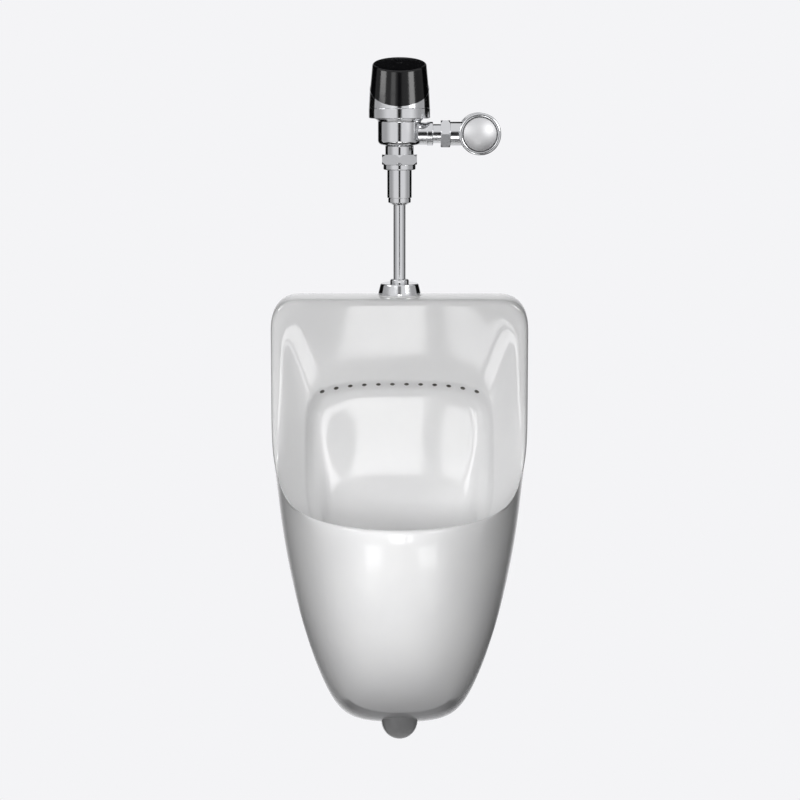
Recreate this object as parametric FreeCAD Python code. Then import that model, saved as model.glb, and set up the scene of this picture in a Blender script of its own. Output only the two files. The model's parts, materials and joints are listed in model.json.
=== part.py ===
# Wall-hung washdown urinal of vitreous china with an exposed sensor flush valve on top.
# Millimetres. The wall is the plane y = 0, the front faces -y, +z is up, and the origin is the
# centre of the waste outlet on the wall. Depth means distance from the wall, so y = -depth.
import FreeCAD
import Part
import bisect
import math
import os
from collections import namedtuple
from FreeCAD import Vector

# China, overall
china_width = 406.0
china_top = 580.0
china_bottom = -125.0
top_depth = 118.0
lip_depth = 356.0
lip_height = 258.0
china_wall = 13.0
corner_radius = 40.0
crown_radius = 290.0
taper_start = 352.0
taper_radius = 1060.0
belly_power = 3.1
bottom_squareness = 50
lip_plan_power = 2.1
shield_plan_power = 3.7
bottom_plan_power = 3.4
shield_rise = 140.0
rim_bend = 3.8
wall_bend = 3.0
rim_roll = 13.0
lip_thickness = 20.0

# Bowl inside
recess_margin = 54.0
ledge_height = 444.0
ledge_depth = 101.0
ledge_setback = 15.0
ledge_drop = 10.0
recess_depth = 79.0
recess_inset = 24.0
recess_drop = 24.0
recess_front = (8.0, 22.0)
under_inset = 6.0
under_front = (4.0, 8.0)
ledge_front_inset = 40.0
ledge_front_drop = 70.0
rim_lean = 2.0
rim_edge = 3.0
rim_front_inset = 16.0
inner_drop = 18.0
inner_front_inset = 22.0
basin_inset = 47.0
basin_lean = 9.0
basin_front_inset = 84.0
basin_back_height = 180.0
basin_front_height = 62.0
well_step = 0.46
well_fall = 0.69
sump_margin = 14.0
sump_back_rise = 26.0
sump_front_rise = 12.0
drain_inset = 171.0
strainer_seat = -20.0
strainer_diameter = 60.0
strainer_thickness = 2.5
strainer_rise = 5.0
strainer_rim = 11.3
strainer_hole = 5.0
strainer_circles = (8.0, 15.4)
strainer_hole_counts = (6, 12)
dish_edge = 5.0
dish_fall = 2.0

# Flush water passages in the china
inlet_bore = 38.0
header_bore = 22.0
header_depth = 71.0
header_height = 468.0
passage_wall = 9.0
flush_hole = 6.0
flush_hole_margin = 26.35
flush_hole_count = 12
ledge_arch_radius = 790.0

# Trap and waste outlet
trap_bore = 40.0
trap_wall = 9.0
trap_dip = -94.0
trap_bend = 32.0
outlet_pad = 14.0
outlet_pad_radius = 44.0
outlet_bolt_spacing = 104.0
outlet_ear_radius = 15.0
outlet_flange_thickness = 9.0
outlet_gasket_thickness = 4.0
waste_pipe = 60.4
outlet_gasket_margin = 4.0
service_notch_width = 150.0
service_notch_depth = 62.0
service_notch_height = -62.0

# Wall hangers
hanger_spacing = 210.0
hanger_width = 56.0
hanger_plate = 3.0
hanger_height = 83.0
hanger_drop = 118.0
hanger_lip = 18.0
hanger_bend = 3.5
hanger_hole = 9.0
hanger_hole_pitch = 24.0
hanger_hole_inset = 13.0
rail_depth = 14.0
rail_height = 30.0
rail_clearance = 2.0

# Fixings and fits
fit = 0.15
running_fit = 0.3
bolt_diameter = 8.0
bolt_nut = 13.0
bolt_nut_height = 6.5
bolt_head = 15.0
bolt_play = 1.0
bolt_spare = 3.0
bolt_washer = 17.0
nut_crown = 0.35
washer_thickness = 1.6

# Spud between china and flush tube
spud_setback = 70.0
spud_thread = 26.7
spud_flange = 35.0
spud_flange_height = 5.0
spud_gasket_height = 32.0
spud_above = 17.0
spud_washer_diameter = 46.0
spud_locknut_flats = 38.0
spud_locknut_height = 6.0
slip_nut_flats = 31.0
slip_collar = 29.6
slip_collar_height = 6.5
slip_gasket_height = 5.0
bell_top = 60.0
bell_base = 67.0
bell_height = 17.5
bell_sheet = 1.2
bell_skirt = 3.0
bell_land = 3.0

# Flush tube and vacuum breaker
tube_diameter = 19.05
tube_sheet = 1.1
breaker_top = 207.5
breaker_bottom = 141.0
breaker_diameter = 38.8
breaker_foot = 35.8
breaker_foot_height = 10.0
breaker_chamber = 32.4
breaker_socket = 17.0
breaker_flange = 41.0
breaker_flange_height = 4.0
breaker_groove = 1.2
breaker_chamfer = 4.0
breaker_funnel = 8.0
insert_bore = 18.8
insert_wall = 2.5
insert_length = 19.0
insert_lip = 1.1
insert_overlap = 2.0
insert_flare = 1.6
sack_wall = 2.1
sack_length = 40.0
sack_mouth = 10.0
coupling_flats = 54.5
coupling_hex_height = 15.5
coupling_height = 24.0
coupling_skirt = 51.0

# Valve body and head, heights above the supply centre line
supply_rise = 252.0
body_diameter = 68.0
body_base = -18.0
body_rim = 30.0
body_wall = 5.0
body_floor = 7.0
body_flare = 5.0
neck_diameter = 44.8
neck_height = 14.0
outlet_thread = 41.0
barrel_bore = 23.0
barrel_wall = 3.5
seat_height = 28.0
seat_gap = 0.1
cap_thread = 76.0
diaphragm_thickness = 2.5
diaphragm_lift = 6.0
diaphragm_margin = 0.5
guide_length = 22.0
guide_wall = 2.0
guide_web = 5.0
guide_drilling = 4.0
guide_slot = 6.0
guide_slots = 3
relief_diameter = 30.0
relief_thickness = 3.4
relief_overlap = 1.2
relief_bleed = 2.4
relief_gap = 0.8
relief_room = 5.0
inner_cover_height = 13.5
inner_cover_flange = 2.5
inner_cover_dome = 60.0
ring_diameter = 96.4
ring_base = 24.0
ring_height = 16.0
ring_shoulder = 62.0
cover_step = 0.2
cover_taper = 1.6
cover_flange_set = 8.0
cover_sheet = 1.8
lens_step = 0.7
lens_top_radius = 42.5
lens_sheet = 2.4
lens_shoulder = 104.0
lens_overrun = 20.0
dome_top = 111.0
dome_radius = 320.0
dome_shift = 80.0
dome_edge = 3.5
visor_side = 70.5
visor_slope = 29.5

# Electronics under the lens
chassis_thickness = 2.8
chassis_margin = 1.0
battery_diameter = 14.5
battery_length = 50.5
battery_circle = 26.0
battery_angles = (-82.0, -28.0, 28.0, 82.0)
battery_tip = 5.4
battery_tip_height = 1.4
battery_cup_wall = 1.5
battery_cup_height = 7.0
sensor_block_width = 34.0
sensor_block_back = 19.0
sensor_block_front = 33.0
sensor_block_bevel = 6.0
sensor_face_width = 16.0
board_height = 89.0
board_radius = 17.0
board_thickness = 1.6
board_post = 4.4
board_post_reach = 13.0
board_post_spacing = 14.3
board_lug = 26.0
switch_diameter = 6.0
switch_height = 3.4
eye_diameter = 6.4
eye_spacing = 17.0
eye_height = 71.0
eye_length = 4.5
solenoid_diameter = 17.0
solenoid_height = 26.0
solenoid_flange = 2.4
plunger_diameter = 6.0
plunger_length = 11.0
plunger_travel = 1.5
plunger_tip = 3.6
plunger_spring_room = 4.0
pilot_hole = 2.4
button_diameter = 14.0
button_flange = 18.0
button_flange_thickness = 1.6
button_spring_diameter = 10.4
button_travel = 2.0
button_stem = 4.0
cover_screw = 3.0
cover_screw_head = 5.2
cover_screw_sink = 1.2
cover_screw_crown = 1.8
cover_screw_boss = 7.4
cover_screw_drop = 1.2
cover_screw_angles = (-32.0, 32.0)

# Supply branch, lengths along x from the valve axis
horn_diameter = 35.0
horn_band = 37.2
horn_band_start = 43.0
horn_end = 52.4
waterway = 22.4
tail_diameter = 29.8
tail_insert = 11.4
tail_nut_start = 64.4
tail_nut_length = 14.6
tail_nut_flats = 41.5
tail_nut_lip = 2.6
lock_ring_width = 1.4
stop_thread = 34.0
stop_socket_end = 93.0
stop_horn = 37.4
stop_offset = 125.0
o_ring_section = 2.6
o_ring_place = 85.8

# Control stop, depths from the wall
stop_barrel = 60.0
stop_back = 30.0
stop_front = 92.0
stop_neck = 38.0
stop_neck_end = 41.0
stop_shoulder = 8.0
stop_chamber = 40.0
stop_seat = 52.0
stop_orifice = 18.0
bonnet_diameter = 65.5
bonnet_inner = 53.6
bonnet_rim = 8.0
bonnet_floor = 3.0
bonnet_plug = 8.0
bonnet_boss = 44.0
bonnet_boss_height = 4.0
stop_cap_diameter = 51.6
stop_cap_height = 14.5
stop_cap_sheet = 2.0
stop_cap_skirt = 5.0
stop_screw_thread = 8.0
stop_screw_collar = 14.0
screw_collar_width = 2.1
screw_slot_width = 1.4
screw_slot_depth = 1.8
thread_depth = 0.6
stop_screw_head_gap = 1.2
stop_travel = 5.0
stop_washer = 4.0
stop_washer_diameter = 24.0
stop_piston_diameter = 28.0
stop_piston_length = 17.0
stop_guide_thickness = 4.0
stop_guide_hole = 6.0
stop_guide_holes = 8
piston_floor = 2.0

# Pipe through the wall
pipe_bore = 22.3
adapter_diameter = 26.4
adapter_insert = 14.0
cover_tube_diameter = 31.4
cover_tube_sheet = 1.2
wall_flange_diameter = 63.0
wall_flange_height = 16.0
wall_flange_collar = 37.0
wall_flange_sheet = 1.4
wall_flange_edge = 2.0
set_screw = 4.0

# Springs
button_wire = 0.7
plunger_wire = 0.5
stop_wire = 1.2
spring_turns = 4
stop_spring_turns = 2
spring_gap = 0.1

# Derived places
recess_width = china_width - 2 * recess_margin
flush_hole_pitch = (recess_width - 2 * flush_hole_margin) / (flush_hole_count - 1)
drain_depth = lip_depth - drain_inset
valve_y = -spud_setback
supply_z = china_top + supply_rise
stop_centre = Vector(stop_offset, 0.0, supply_z)
outlet_face = outlet_flange_thickness + outlet_gasket_thickness
hanger_base = china_top - hanger_drop
rail_base = hanger_base + hanger_plate
seal_z = supply_z + body_rim
cover_base_z = seal_z + diaphragm_thickness
chassis_z = cover_base_z + inner_cover_height
ring_z = supply_z + ring_base
head_z = ring_z + ring_height
board_z = supply_z + board_height
dome_z = supply_z + dome_top
breaker_top_z = china_top + breaker_top
breaker_bottom_z = china_top + breaker_bottom

# Sampling of the china's rows of poles
top_steps = 3
corner_steps = 4
side_steps = 24
fine_steps = 300
skin_stations = ((0.12, 0.006), (0.24, 0.03), (0.36, 0.08), (0.47, 0.16), (0.58, 0.29), (0.68, 0.46),
                 (0.76, 0.64), (0.83, 0.82))


# Plain shape helpers

def rounded_wire(corners, place):
    """A closed wire through (u, v) or (u, v, radius) corners, each radius a tangent arc."""
    ends = []
    count = len(corners)
    for i, corner in enumerate(corners):
        here = Vector(corner[0], corner[1], 0)
        radius = corner[2] if len(corner) > 2 else 0.0
        if not radius:
            ends.append((here, None, here))
            continue
        before = corners[i - 1]
        after = corners[(i + 1) % count]
        back = (Vector(before[0], before[1], 0) - here).normalize()
        on = (Vector(after[0], after[1], 0) - here).normalize()
        half = back.getAngle(on) / 2
        middle = (back + on).normalize() * (radius / math.sin(half) - radius)
        reach = radius / math.tan(half)
        ends.append((here + back * reach, here + middle, here + on * reach))
    edges = []
    for i, (start, middle, end) in enumerate(ends):
        if middle is not None:
            edges.append(Part.Arc(place(start), place(middle), place(end)).toShape())
        following = ends[(i + 1) % count][0]
        if (following - end).Length > 1e-6:
            edges.append(Part.LineSegment(place(end), place(following)).toShape())
    return Part.Wire(edges)


def turned(corners, origin, axis):
    """A solid of revolution: corners are (radius, distance along the axis) with optional arcs."""
    side = Vector(0, 0, 1) if axis.z == 0 else Vector(1, 0, 0)
    wire = rounded_wire(corners, lambda q: origin + side * q.x + axis * q.y)
    return Part.Face(wire).revolve(origin, axis, 360)


def upright(corners, x=0.0, y=None):
    """A turned piece on a vertical axis, the valve's own axis unless another is given."""
    return turned(corners, Vector(x, valve_y if y is None else y, 0), Vector(0, 0, 1))


def sideways(corners):
    """A turned piece on the supply branch, measured along x from the valve axis."""
    return turned(corners, Vector(0, valve_y, supply_z), Vector(1, 0, 0))


def outward(corners, centre):
    """A turned piece on an axis square to the wall, measured by depth from the wall."""
    return turned(corners, Vector(centre.x, 0, centre.z), Vector(0, -1, 0))


def tube(outer, inner, start, end):
    """Corners of a plain tube for the turned helpers, from two diameters."""
    return [(inner / 2, start), (outer / 2, start), (outer / 2, end), (inner / 2, end)]


def rod(diameter, start, end):
    """Corners of a plain rod for the turned helpers."""
    return [(0, start), (diameter / 2, start), (diameter / 2, end), (0, end)]


def cylinder(diameter, start, end):
    """A round bar between two points."""
    run = end - start
    return Part.makeCylinder(diameter / 2, run.Length, start, run)


def block(low, high):
    """A box between two corners."""
    size = high - low
    return Part.makeBox(size.x, size.y, size.z, low)


def hexagon(flats, length, start, axis):
    """A hexagonal bar with a corner to the front, its ends chamfered by a cone as on a turned nut."""
    radius = flats / math.sqrt(3)
    side = Vector(0, 0, 1) if axis.y else Vector(0, 1, 0)
    points = []
    for i in range(7):
        turn = FreeCAD.Rotation(axis, 60 * i)
        points.append(start + turn.multVec(side * radius))
    bar = Part.Face(Part.makePolygon(points)).extrude(axis * length)
    relief = radius - flats / 2
    crown = flats / 2 + relief * nut_crown
    profile = [(0, 0), (crown, 0), (radius, relief), (radius, length - relief), (crown, length), (0, length)]
    return bar.common(turned(profile, start, axis))


def arc_from(start, corner, end):
    """The arc between two points whose end tangents meet at a corner."""
    middle = (start + end) / 2
    share = (start - middle).Length / (start - corner).Length
    return Part.Arc(start, middle + (corner - middle) * (share / (1 + share)), end).toShape()


def biarc(start, start_way, end, end_way):
    """Two arcs that leave one point and reach the next along the given directions."""
    span = end - start
    bend = 2 * (1 - start_way.dot(end_way))
    run = span.dot(start_way + end_way)
    reach = (math.sqrt(run ** 2 + bend * span.dot(span)) - run) / bend
    first = start + start_way * reach
    last = end - end_way * reach
    joint = (first + last) / 2
    return [arc_from(start, first, joint), arc_from(joint, last, end)]


def coil(diameter, wire, start, length, axis, turns=spring_turns):
    """A compression spring of round wire, as long as the given length, wound in quarter turns."""
    radius = (diameter - wire) / 2
    rise = (length - wire) / turns / (2 * math.pi)
    points = []
    ways = []
    for i in range(4 * turns + 1):
        angle = math.pi / 2 * i
        points.append(Vector(radius * math.cos(angle), radius * math.sin(angle), rise * angle))
        ways.append(Vector(-radius * math.sin(angle), radius * math.cos(angle), rise).normalize())
    path = []
    for i in range(4 * turns):
        path += biarc(points[i], ways[i], points[i + 1], ways[i + 1])
    ring = Part.Wire(Part.makeCircle(wire / 2, points[0], ways[0]))
    spring = Part.Wire(path).makePipeShell([ring], True, False)
    lean = FreeCAD.Rotation(Vector(0, 0, 1), axis)
    spring.Placement = FreeCAD.Placement(start + axis * (wire / 2), lean)
    return spring


def deep(x, depth, z):
    """A point given by its depth from the wall."""
    return Vector(x, -depth, z)


# The china's skin: rows of poles, each a closed loop from the top centre round to the front

Ring = namedtuple("Ring", "width back front squareness lower bend")


def crown_drop(depth):
    """How far the crowned top lies below its crest over the spud."""
    return (depth - spud_setback) ** 2 / (2 * crown_radius)


def half_width(z, inset):
    """Half the body's width at a height, with the long taper and the rounded bottom."""
    drop = max(taper_start - z, 0.0)
    side = china_width / 2 - inset - (taper_radius - math.sqrt(taper_radius ** 2 - drop ** 2))
    share = min(drop / (taper_start - china_bottom - inset), 1.0)
    return side * math.sqrt(1 - share ** bottom_squareness)


def front_depth(z, inset):
    """Depth of the apron's front line at a height."""
    share = min(max(lip_height - z, 0.0) / (lip_height - china_bottom - inset), 1.0)
    return (lip_depth - inset) * math.sqrt(1 - share ** belly_power)


def plan_power(z):
    """Fullness of the body in plan: round at the lip, squarer at the shield and the bottom."""
    if z < lip_height:
        share = min((lip_height - z) / (lip_height - china_bottom), 1.0)
        return lip_plan_power + (bottom_plan_power - lip_plan_power) * share ** 2
    share = min((z - lip_height) / shield_rise, 1.0)
    return lip_plan_power + (shield_plan_power - lip_plan_power) * share * share * (3 - 2 * share)


def skin_x(width, depth, z, inset):
    """Half width of the outer skin at a depth and height."""
    reach = front_depth(z, inset)
    share = min(depth / reach, 1.0) if reach > 0 else 0.0
    power = plan_power(z)
    return width * (1 - share ** power) ** (1 / power)


def run_lengths(points):
    """Distance along a run of points to each of them."""
    lengths = [0.0]
    for a, b in zip(points, points[1:]):
        lengths.append(lengths[-1] + math.dist(a, b))
    return lengths


def along(points, lengths, distance):
    """The point at a distance along a run of points."""
    i = min(max(bisect.bisect_right(lengths, distance) - 1, 0), len(points) - 2)
    gap = lengths[i + 1] - lengths[i]
    share = (distance - lengths[i]) / gap if gap else 0.0
    return tuple(a + share * (b - a) for a, b in zip(points[i], points[i + 1]))


def spread(points, count):
    """Evenly spaced points along a run."""
    lengths = run_lengths(points)
    return [along(points, lengths, lengths[-1] * i / count) for i in range(count + 1)]


def outer_row(back_depth, low_z, bend, inset=0.0):
    """A loop on the outer skin: level over the top, down the side, then forward to the front line."""
    top_z = china_top - inset - crown_drop(back_depth)
    low_depth = front_depth(low_z, inset)
    radius = corner_radius - inset
    flat = china_width / 2 - inset - radius

    def depth_at(z):
        share = min((top_z - z) / (top_z - low_z), 1.0)
        return low_depth - (low_depth - back_depth) * (1 - share ** bend) ** (1 / bend)

    top = [(flat * i / top_steps, back_depth, top_z) for i in range(top_steps)]
    corner = []
    for i in range(fine_steps + 1):
        angle = math.pi / 2 * i / fine_steps
        z = top_z - radius * (1 - math.cos(angle))
        depth = depth_at(z)
        corner.append((skin_x(flat + radius * math.sin(angle), depth, z, inset), depth, z))
    start = math.asin((radius / (top_z - low_z)) ** (bend / 2))
    side = []
    for i in range(4 * fine_steps):
        share = i / (4 * fine_steps)
        angle = start + (math.pi / 2 - start) * (1 - (1 - share) ** 2.5)
        z = top_z - math.sin(angle) ** (2 / bend) * (top_z - low_z)
        depth = low_depth - (low_depth - back_depth) * math.cos(angle) ** (2 / bend)
        side.append((skin_x(half_width(z, inset), depth, z, inset), depth, z))
    side.append((0.0, low_depth, low_z))
    return top + spread(corner, corner_steps)[:-1] + spread(side, side_steps)


def rim_shares():
    """Where the columns of poles cross a loop, as shares of its length, taken from the rim."""
    lengths = run_lengths(outer_row(top_depth, lip_height, rim_bend))
    return [length / lengths[-1] for length in lengths]


def bowl_row(ring, grow=0.0):
    """A loop inside the bowl: a squared oval seen from the front that leans forward as it goes down."""
    back_depth = ring.back[0] - grow
    front_reach = ring.front[0] + grow
    front_z = ring.front[1] - grow / 2
    points = []
    for i in range(4 * fine_steps + 1):
        angle = math.pi * i / (4 * fine_steps)
        power = 2 / (ring.squareness if math.cos(angle) > 0 else ring.lower)
        x = (ring.width / 2 + grow) * abs(math.sin(angle)) ** power
        level = math.copysign(abs(math.cos(angle)) ** power, math.cos(angle))
        share = (1 - level) / 2
        lean = 1 - (1 - share ** ring.bend) ** (1 / ring.bend)
        depth = back_depth + (front_reach - back_depth) * lean
        points.append((x, depth, ring.back[1] + (front_z - ring.back[1]) * share))
    lengths = run_lengths(points)
    row = [along(points, lengths, lengths[-1] * share) for share in rim_shares()]
    row[0] = (0.0,) + row[0][1:]
    row[-1] = (0.0,) + row[-1][1:]
    return row


def between(a, b, share):
    """A ring part of the way from one ring to another."""
    def mix(p, q):
        if isinstance(p, tuple):
            return tuple(mix(i, j) for i, j in zip(p, q))
        return p + (q - p) * share
    return Ring(*(mix(p, q) for p, q in zip(a, b)))


def skin_solid(rows):
    """A solid closed by one smooth skin over the rows and a flat cap on the first and the last."""
    loops = []
    for row in rows:
        right = [deep(*point) for point in row]
        left = [Vector(-p.x, p.y, p.z) for p in right[-2:0:-1]]
        loops.append(right + left)
    poles = [list(column) for column in zip(*loops)]
    around = len(poles)
    across = len(rows)
    surface = Part.BSplineSurface()
    surface.buildFromPolesMultsKnots(
        poles, [1] * (around + 1), [4] + [1] * (across - 4) + [4],
        list(range(around + 1)), list(range(across - 2)), True, False, 3, 3)
    skin = surface.toShape()
    rims = [edge for edge in skin.Edges if edge.isClosed() and not edge.isSeam(skin)]
    shell = Part.makeShell([skin] + [Part.Face(Part.Wire([edge])) for edge in rims])
    shell.sewShape()
    return Part.makeSolid(shell)


def bowl_rings():
    """The key rings from the inside of the rim down to the sump, in order."""
    top = china_top - crown_drop(top_depth)
    rim = Ring(china_width - lip_thickness, (top_depth + rim_lean, top - rim_edge),
               (lip_depth - rim_front_inset, lip_height + rim_edge), 7.5, 7.5, rim_bend)
    inner = Ring(china_width - 2 * lip_thickness, (top_depth + rim_lean, top - inner_drop),
                 (lip_depth - inner_front_inset, lip_height - rim_roll), 7.0, 7.0, rim_bend)
    front_depth_at_ledge = lip_depth - ledge_front_inset
    front_height = lip_height - ledge_front_drop
    ledge = Ring(recess_width, (ledge_depth, ledge_height),
                 (front_depth_at_ledge, front_height), 5.2, 3.6, 3.3)
    under = Ring(recess_width - 2 * under_inset, (ledge_depth - ledge_setback, ledge_height - ledge_drop),
                 (front_depth_at_ledge - under_front[0], front_height - under_front[1]), 5.0, 3.5, 3.2)
    recess = Ring(recess_width - 2 * recess_inset, (recess_depth, ledge_height - recess_drop),
                  (front_depth_at_ledge - recess_front[0], front_height - recess_front[1]), 4.6, 3.3, 3.0)
    basin = Ring(recess_width - 2 * basin_inset, (recess_depth + basin_lean, basin_back_height),
                 (lip_depth - basin_front_inset, basin_front_height), 2.8, 2.8, 1.6)
    sump_radius = strainer_diameter / 2 + sump_margin
    sump = Ring(2 * sump_radius, (drain_depth - sump_radius, strainer_seat + sump_back_rise),
                (drain_depth + sump_radius, strainer_seat + sump_front_rise), 2.0, 2.0, 1.0)
    step, fall = between(basin, sump, well_step), between(basin, sump, well_fall)
    well = Ring(step.width, (step.back[0], fall.back[1]), (step.front[0], fall.front[1]), 2.3, 2.3, 1.2)
    return rim, inner, ledge, under, recess, basin, well, sump


def drain_ring(radius, z):
    """A level round ring about the drain."""
    return Ring(2 * radius, (drain_depth - radius, z), (drain_depth + radius, z), 2.0, 2.0, 1.0)


def outer_stations(inset):
    """Loops up the outer skin from near the wall to just behind the rim."""
    rows = []
    for back_share, rise in skin_stations:
        low_z = china_bottom + inset + rise * (lip_height - china_bottom - inset)
        bend = wall_bend + (rim_bend - wall_bend) * rise
        rows.append(outer_row(back_share * (top_depth - inset), low_z, bend, inset))
    return rows


def china_envelope():
    """The china's outside and bowl as one smooth solid, still full at the back."""
    rim, inner, ledge, under, recess, basin, well, sump = bowl_rings()
    floor = strainer_seat + strainer_thickness
    rows = [outer_row(0.0, china_bottom, wall_bend)]
    rows += outer_stations(0.0)
    rows += [outer_row(top_depth - rim_roll, lip_height - 1.5 * rim_roll, rim_bend),
             outer_row(top_depth - 1, lip_height + 3, rim_bend)]
    rings = [rim, inner, between(inner, ledge, 0.3), between(inner, ledge, 0.68),
             between(inner, ledge, 0.93), ledge, under, recess,
             between(recess, basin, 0.45), basin, well, sump,
             drain_ring(strainer_diameter / 2 + dish_edge, floor + dish_fall),
             drain_ring(strainer_diameter / 2 - dish_edge, floor)]
    return skin_solid(rows + [bowl_row(ring) for ring in rings])


def back_hollow():
    """The space behind the bowl, open to the wall, that leaves an even wall all round."""
    rim, inner, ledge, under, recess, basin, well, sump = bowl_rings()
    wall_row = outer_row(0.0, china_bottom + china_wall, wall_bend, china_wall)
    rows = [[(x, -reach * china_wall, z) for x, depth, z in wall_row] for reach in (2, 1)]
    rows += outer_stations(china_wall)
    rings = [between(inner, ledge, 0.5), between(inner, ledge, 0.75), ledge, recess,
             between(recess, basin, 0.45), basin, well, sump]
    rows += [bowl_row(ring, china_wall) for ring in rings]
    for radius, drop in ((trap_bore / 2 + 4, 1.5), (trap_bore / 2, 2.5)):
        rows.append(bowl_row(drain_ring(radius, strainer_seat - china_wall * drop)))
    return skin_solid(rows)


def trap_run(diameter, start_z, end_depth):
    """The trap as a round pipe: down from the drain, round the dip, up and out to the wall."""
    bottom = trap_dip + trap_bend
    rise_depth = drain_depth - 2 * trap_bend
    dip_centre = deep(0, drain_depth - trap_bend, bottom)
    elbow_centre = deep(0, rise_depth - trap_bend, -trap_bend)
    section = Part.Face(Part.Wire(Part.makeCircle(diameter / 2, deep(0, drain_depth, bottom))))
    dip = section.revolve(dip_centre, Vector(1, 0, 0), 180)
    mouth = Part.Face(Part.Wire(Part.makeCircle(diameter / 2, deep(0, rise_depth, -trap_bend))))
    elbow = mouth.revolve(elbow_centre, Vector(1, 0, 0), -90)
    down = cylinder(diameter, deep(0, drain_depth, bottom), deep(0, drain_depth, start_z))
    up = cylinder(diameter, deep(0, rise_depth, bottom), deep(0, rise_depth, -trap_bend))
    out = cylinder(diameter, deep(0, rise_depth - trap_bend, 0), deep(0, end_depth, 0))
    return down.fuse([dip, up, elbow, out]).removeSplitter()


def trap_casting():
    """The outside of the trap with the thick collar that joins it to the bowl round the drain."""
    run = trap_run(trap_bore + 2 * trap_wall, strainer_seat - 1.5 * china_wall, outlet_face + outlet_pad / 2)
    collar = cylinder(strainer_diameter + china_wall, deep(0, drain_depth, trap_dip + trap_bend),
                      deep(0, drain_depth, strainer_seat - china_wall / 2))
    return run.fuse(collar)


def outlet_plate(start, end):
    """The eared plate round the outlet, between two depths."""
    spread_x = outlet_bolt_spacing / 2
    plate = cylinder(2 * outlet_pad_radius, deep(0, start, 0), deep(0, end, 0))
    ears = [cylinder(2 * outlet_ear_radius, deep(x, start, 0), deep(x, end, 0))
            for x in (-spread_x, spread_x)]
    bar = block(deep(-spread_x, end, -outlet_ear_radius), deep(spread_x, start, outlet_ear_radius))
    return plate.fuse(ears + [bar]).removeSplitter()


def at_outlet_bolts(make):
    """One copy of a piece at each outlet bolt, as separate solids."""
    return Part.makeCompound([make(side * outlet_bolt_spacing / 2) for side in (-1, 1)])


def flush_hole_places():
    """Where the flush holes lie along the ledge, evenly about the middle."""
    first = -(flush_hole_count - 1) / 2 * flush_hole_pitch
    return [first + i * flush_hole_pitch for i in range(flush_hole_count)]


def flush_holes():
    """Holes from the header down through the ledge, following its arch."""
    drills = []
    for x in flush_hole_places():
        arch = x * x / (2 * ledge_arch_radius)
        start = deep(x, header_depth, header_height)
        aim = deep(x, ledge_depth - ledge_setback / 2, ledge_height - ledge_drop / 2 - arch)
        drills.append(cylinder(flush_hole, start, start + (aim - start) * 1.5))
    return drills


def header(diameter, half_length):
    """The cross passage that feeds the flush holes."""
    end = deep(half_length, header_depth, header_height)
    return cylinder(diameter, Vector(-end.x, end.y, end.z), end)


def riser(diameter, low_z):
    """The passage from the spud down to the header."""
    return cylinder(diameter, Vector(0, valve_y, low_z), Vector(0, valve_y, china_top))


def hanger_rail():
    """The cast rail across the back that drops into the wall hangers."""
    reach = china_width / 2 - china_wall / 2
    low = deep(-reach, hanger_plate + rail_clearance + rail_depth, rail_base)
    high = deep(reach, hanger_plate + rail_clearance, rail_base + rail_height)
    return block(low, high)


def outlet_bolt_holes(diameter, start, end):
    """Bars through the outlet ears, one for each bolt."""
    places = (-outlet_bolt_spacing / 2, outlet_bolt_spacing / 2)
    return [cylinder(diameter, deep(x, start, 0), deep(x, end, 0)) for x in places]


def china_bowl():
    """The vitreous china: shield, bowl, apron, flush passages, trap and hanging rail in one casting."""
    half_header = flush_hole_places()[-1] + flush_hole
    notch = block(deep(-service_notch_width / 2, service_notch_depth, china_bottom - china_wall),
                  deep(service_notch_width / 2, -china_wall, service_notch_height))
    body = china_envelope().cut(back_hollow()).cut(notch)
    spud_place = Vector(0, valve_y, china_top)
    boss = cylinder(bell_base + 2 * bell_land, spud_place - Vector(0, 0, china_wall), spud_place)
    pad_end = outlet_face + outlet_pad
    added = [boss, hanger_rail(), header(header_bore + 2 * passage_wall, half_header + passage_wall),
             riser(inlet_bore + 2 * passage_wall, header_height), outlet_plate(outlet_face, pad_end),
             trap_casting()]
    for piece in added:
        body = body.fuse(piece)
    seat = cylinder(strainer_diameter, deep(0, drain_depth, strainer_seat),
                    deep(0, drain_depth, strainer_seat + sump_back_rise))
    cuts = [trap_run(trap_bore, strainer_seat, outlet_face - 1), riser(inlet_bore, header_height),
            header(header_bore, half_header), seat]
    cuts += flush_holes()
    cuts += outlet_bolt_holes(bolt_diameter + bolt_play, 0, pad_end + 1)
    return body.cut(cuts)


def drain_strainer():
    """The domed drain grid: a ring on the seat with a raised, drilled middle."""
    radius = strainer_diameter / 2 - running_fit
    knee = radius - strainer_rim
    low, high = strainer_seat, strainer_seat + strainer_thickness
    grid = upright([(0, low + strainer_rise), (knee, low, 4), (radius, low), (radius, high, 1),
                    (knee, high, 4), (0, high + strainer_rise)], 0.0, -drain_depth)
    holes = []
    for circle, count in zip(strainer_circles, strainer_hole_counts):
        for i in range(count):
            angle = 2 * math.pi * i / count
            x = circle * math.cos(angle)
            depth = drain_depth + circle * math.sin(angle)
            foot, head = deep(x, depth, low - 1), deep(x, depth, high + strainer_rise)
            holes.append(cylinder(strainer_hole, foot, head))
    return grid.cut(holes)


def outlet_gasket():
    """The soft ring between the china outlet and the waste flange."""
    ring = tube(2 * (outlet_pad_radius - outlet_gasket_margin), trap_bore + 2 * outlet_gasket_margin,
                outlet_flange_thickness, outlet_face)
    return outward(ring, Vector(0, 0, 0))


def outlet_flange():
    """The waste flange that screws on the pipe in the wall, with pockets behind for the bolt heads."""
    end = outlet_flange_thickness + 1
    cuts = [cylinder(waste_pipe, deep(0, -1, 0), deep(0, end, 0))]
    cuts += outlet_bolt_holes(bolt_diameter + 2 * fit, -1, end)
    cuts += outlet_bolt_holes(bolt_head + bolt_play, -1, bolt_head_depth())
    return outlet_plate(0.0, outlet_flange_thickness).cut(cuts)


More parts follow.
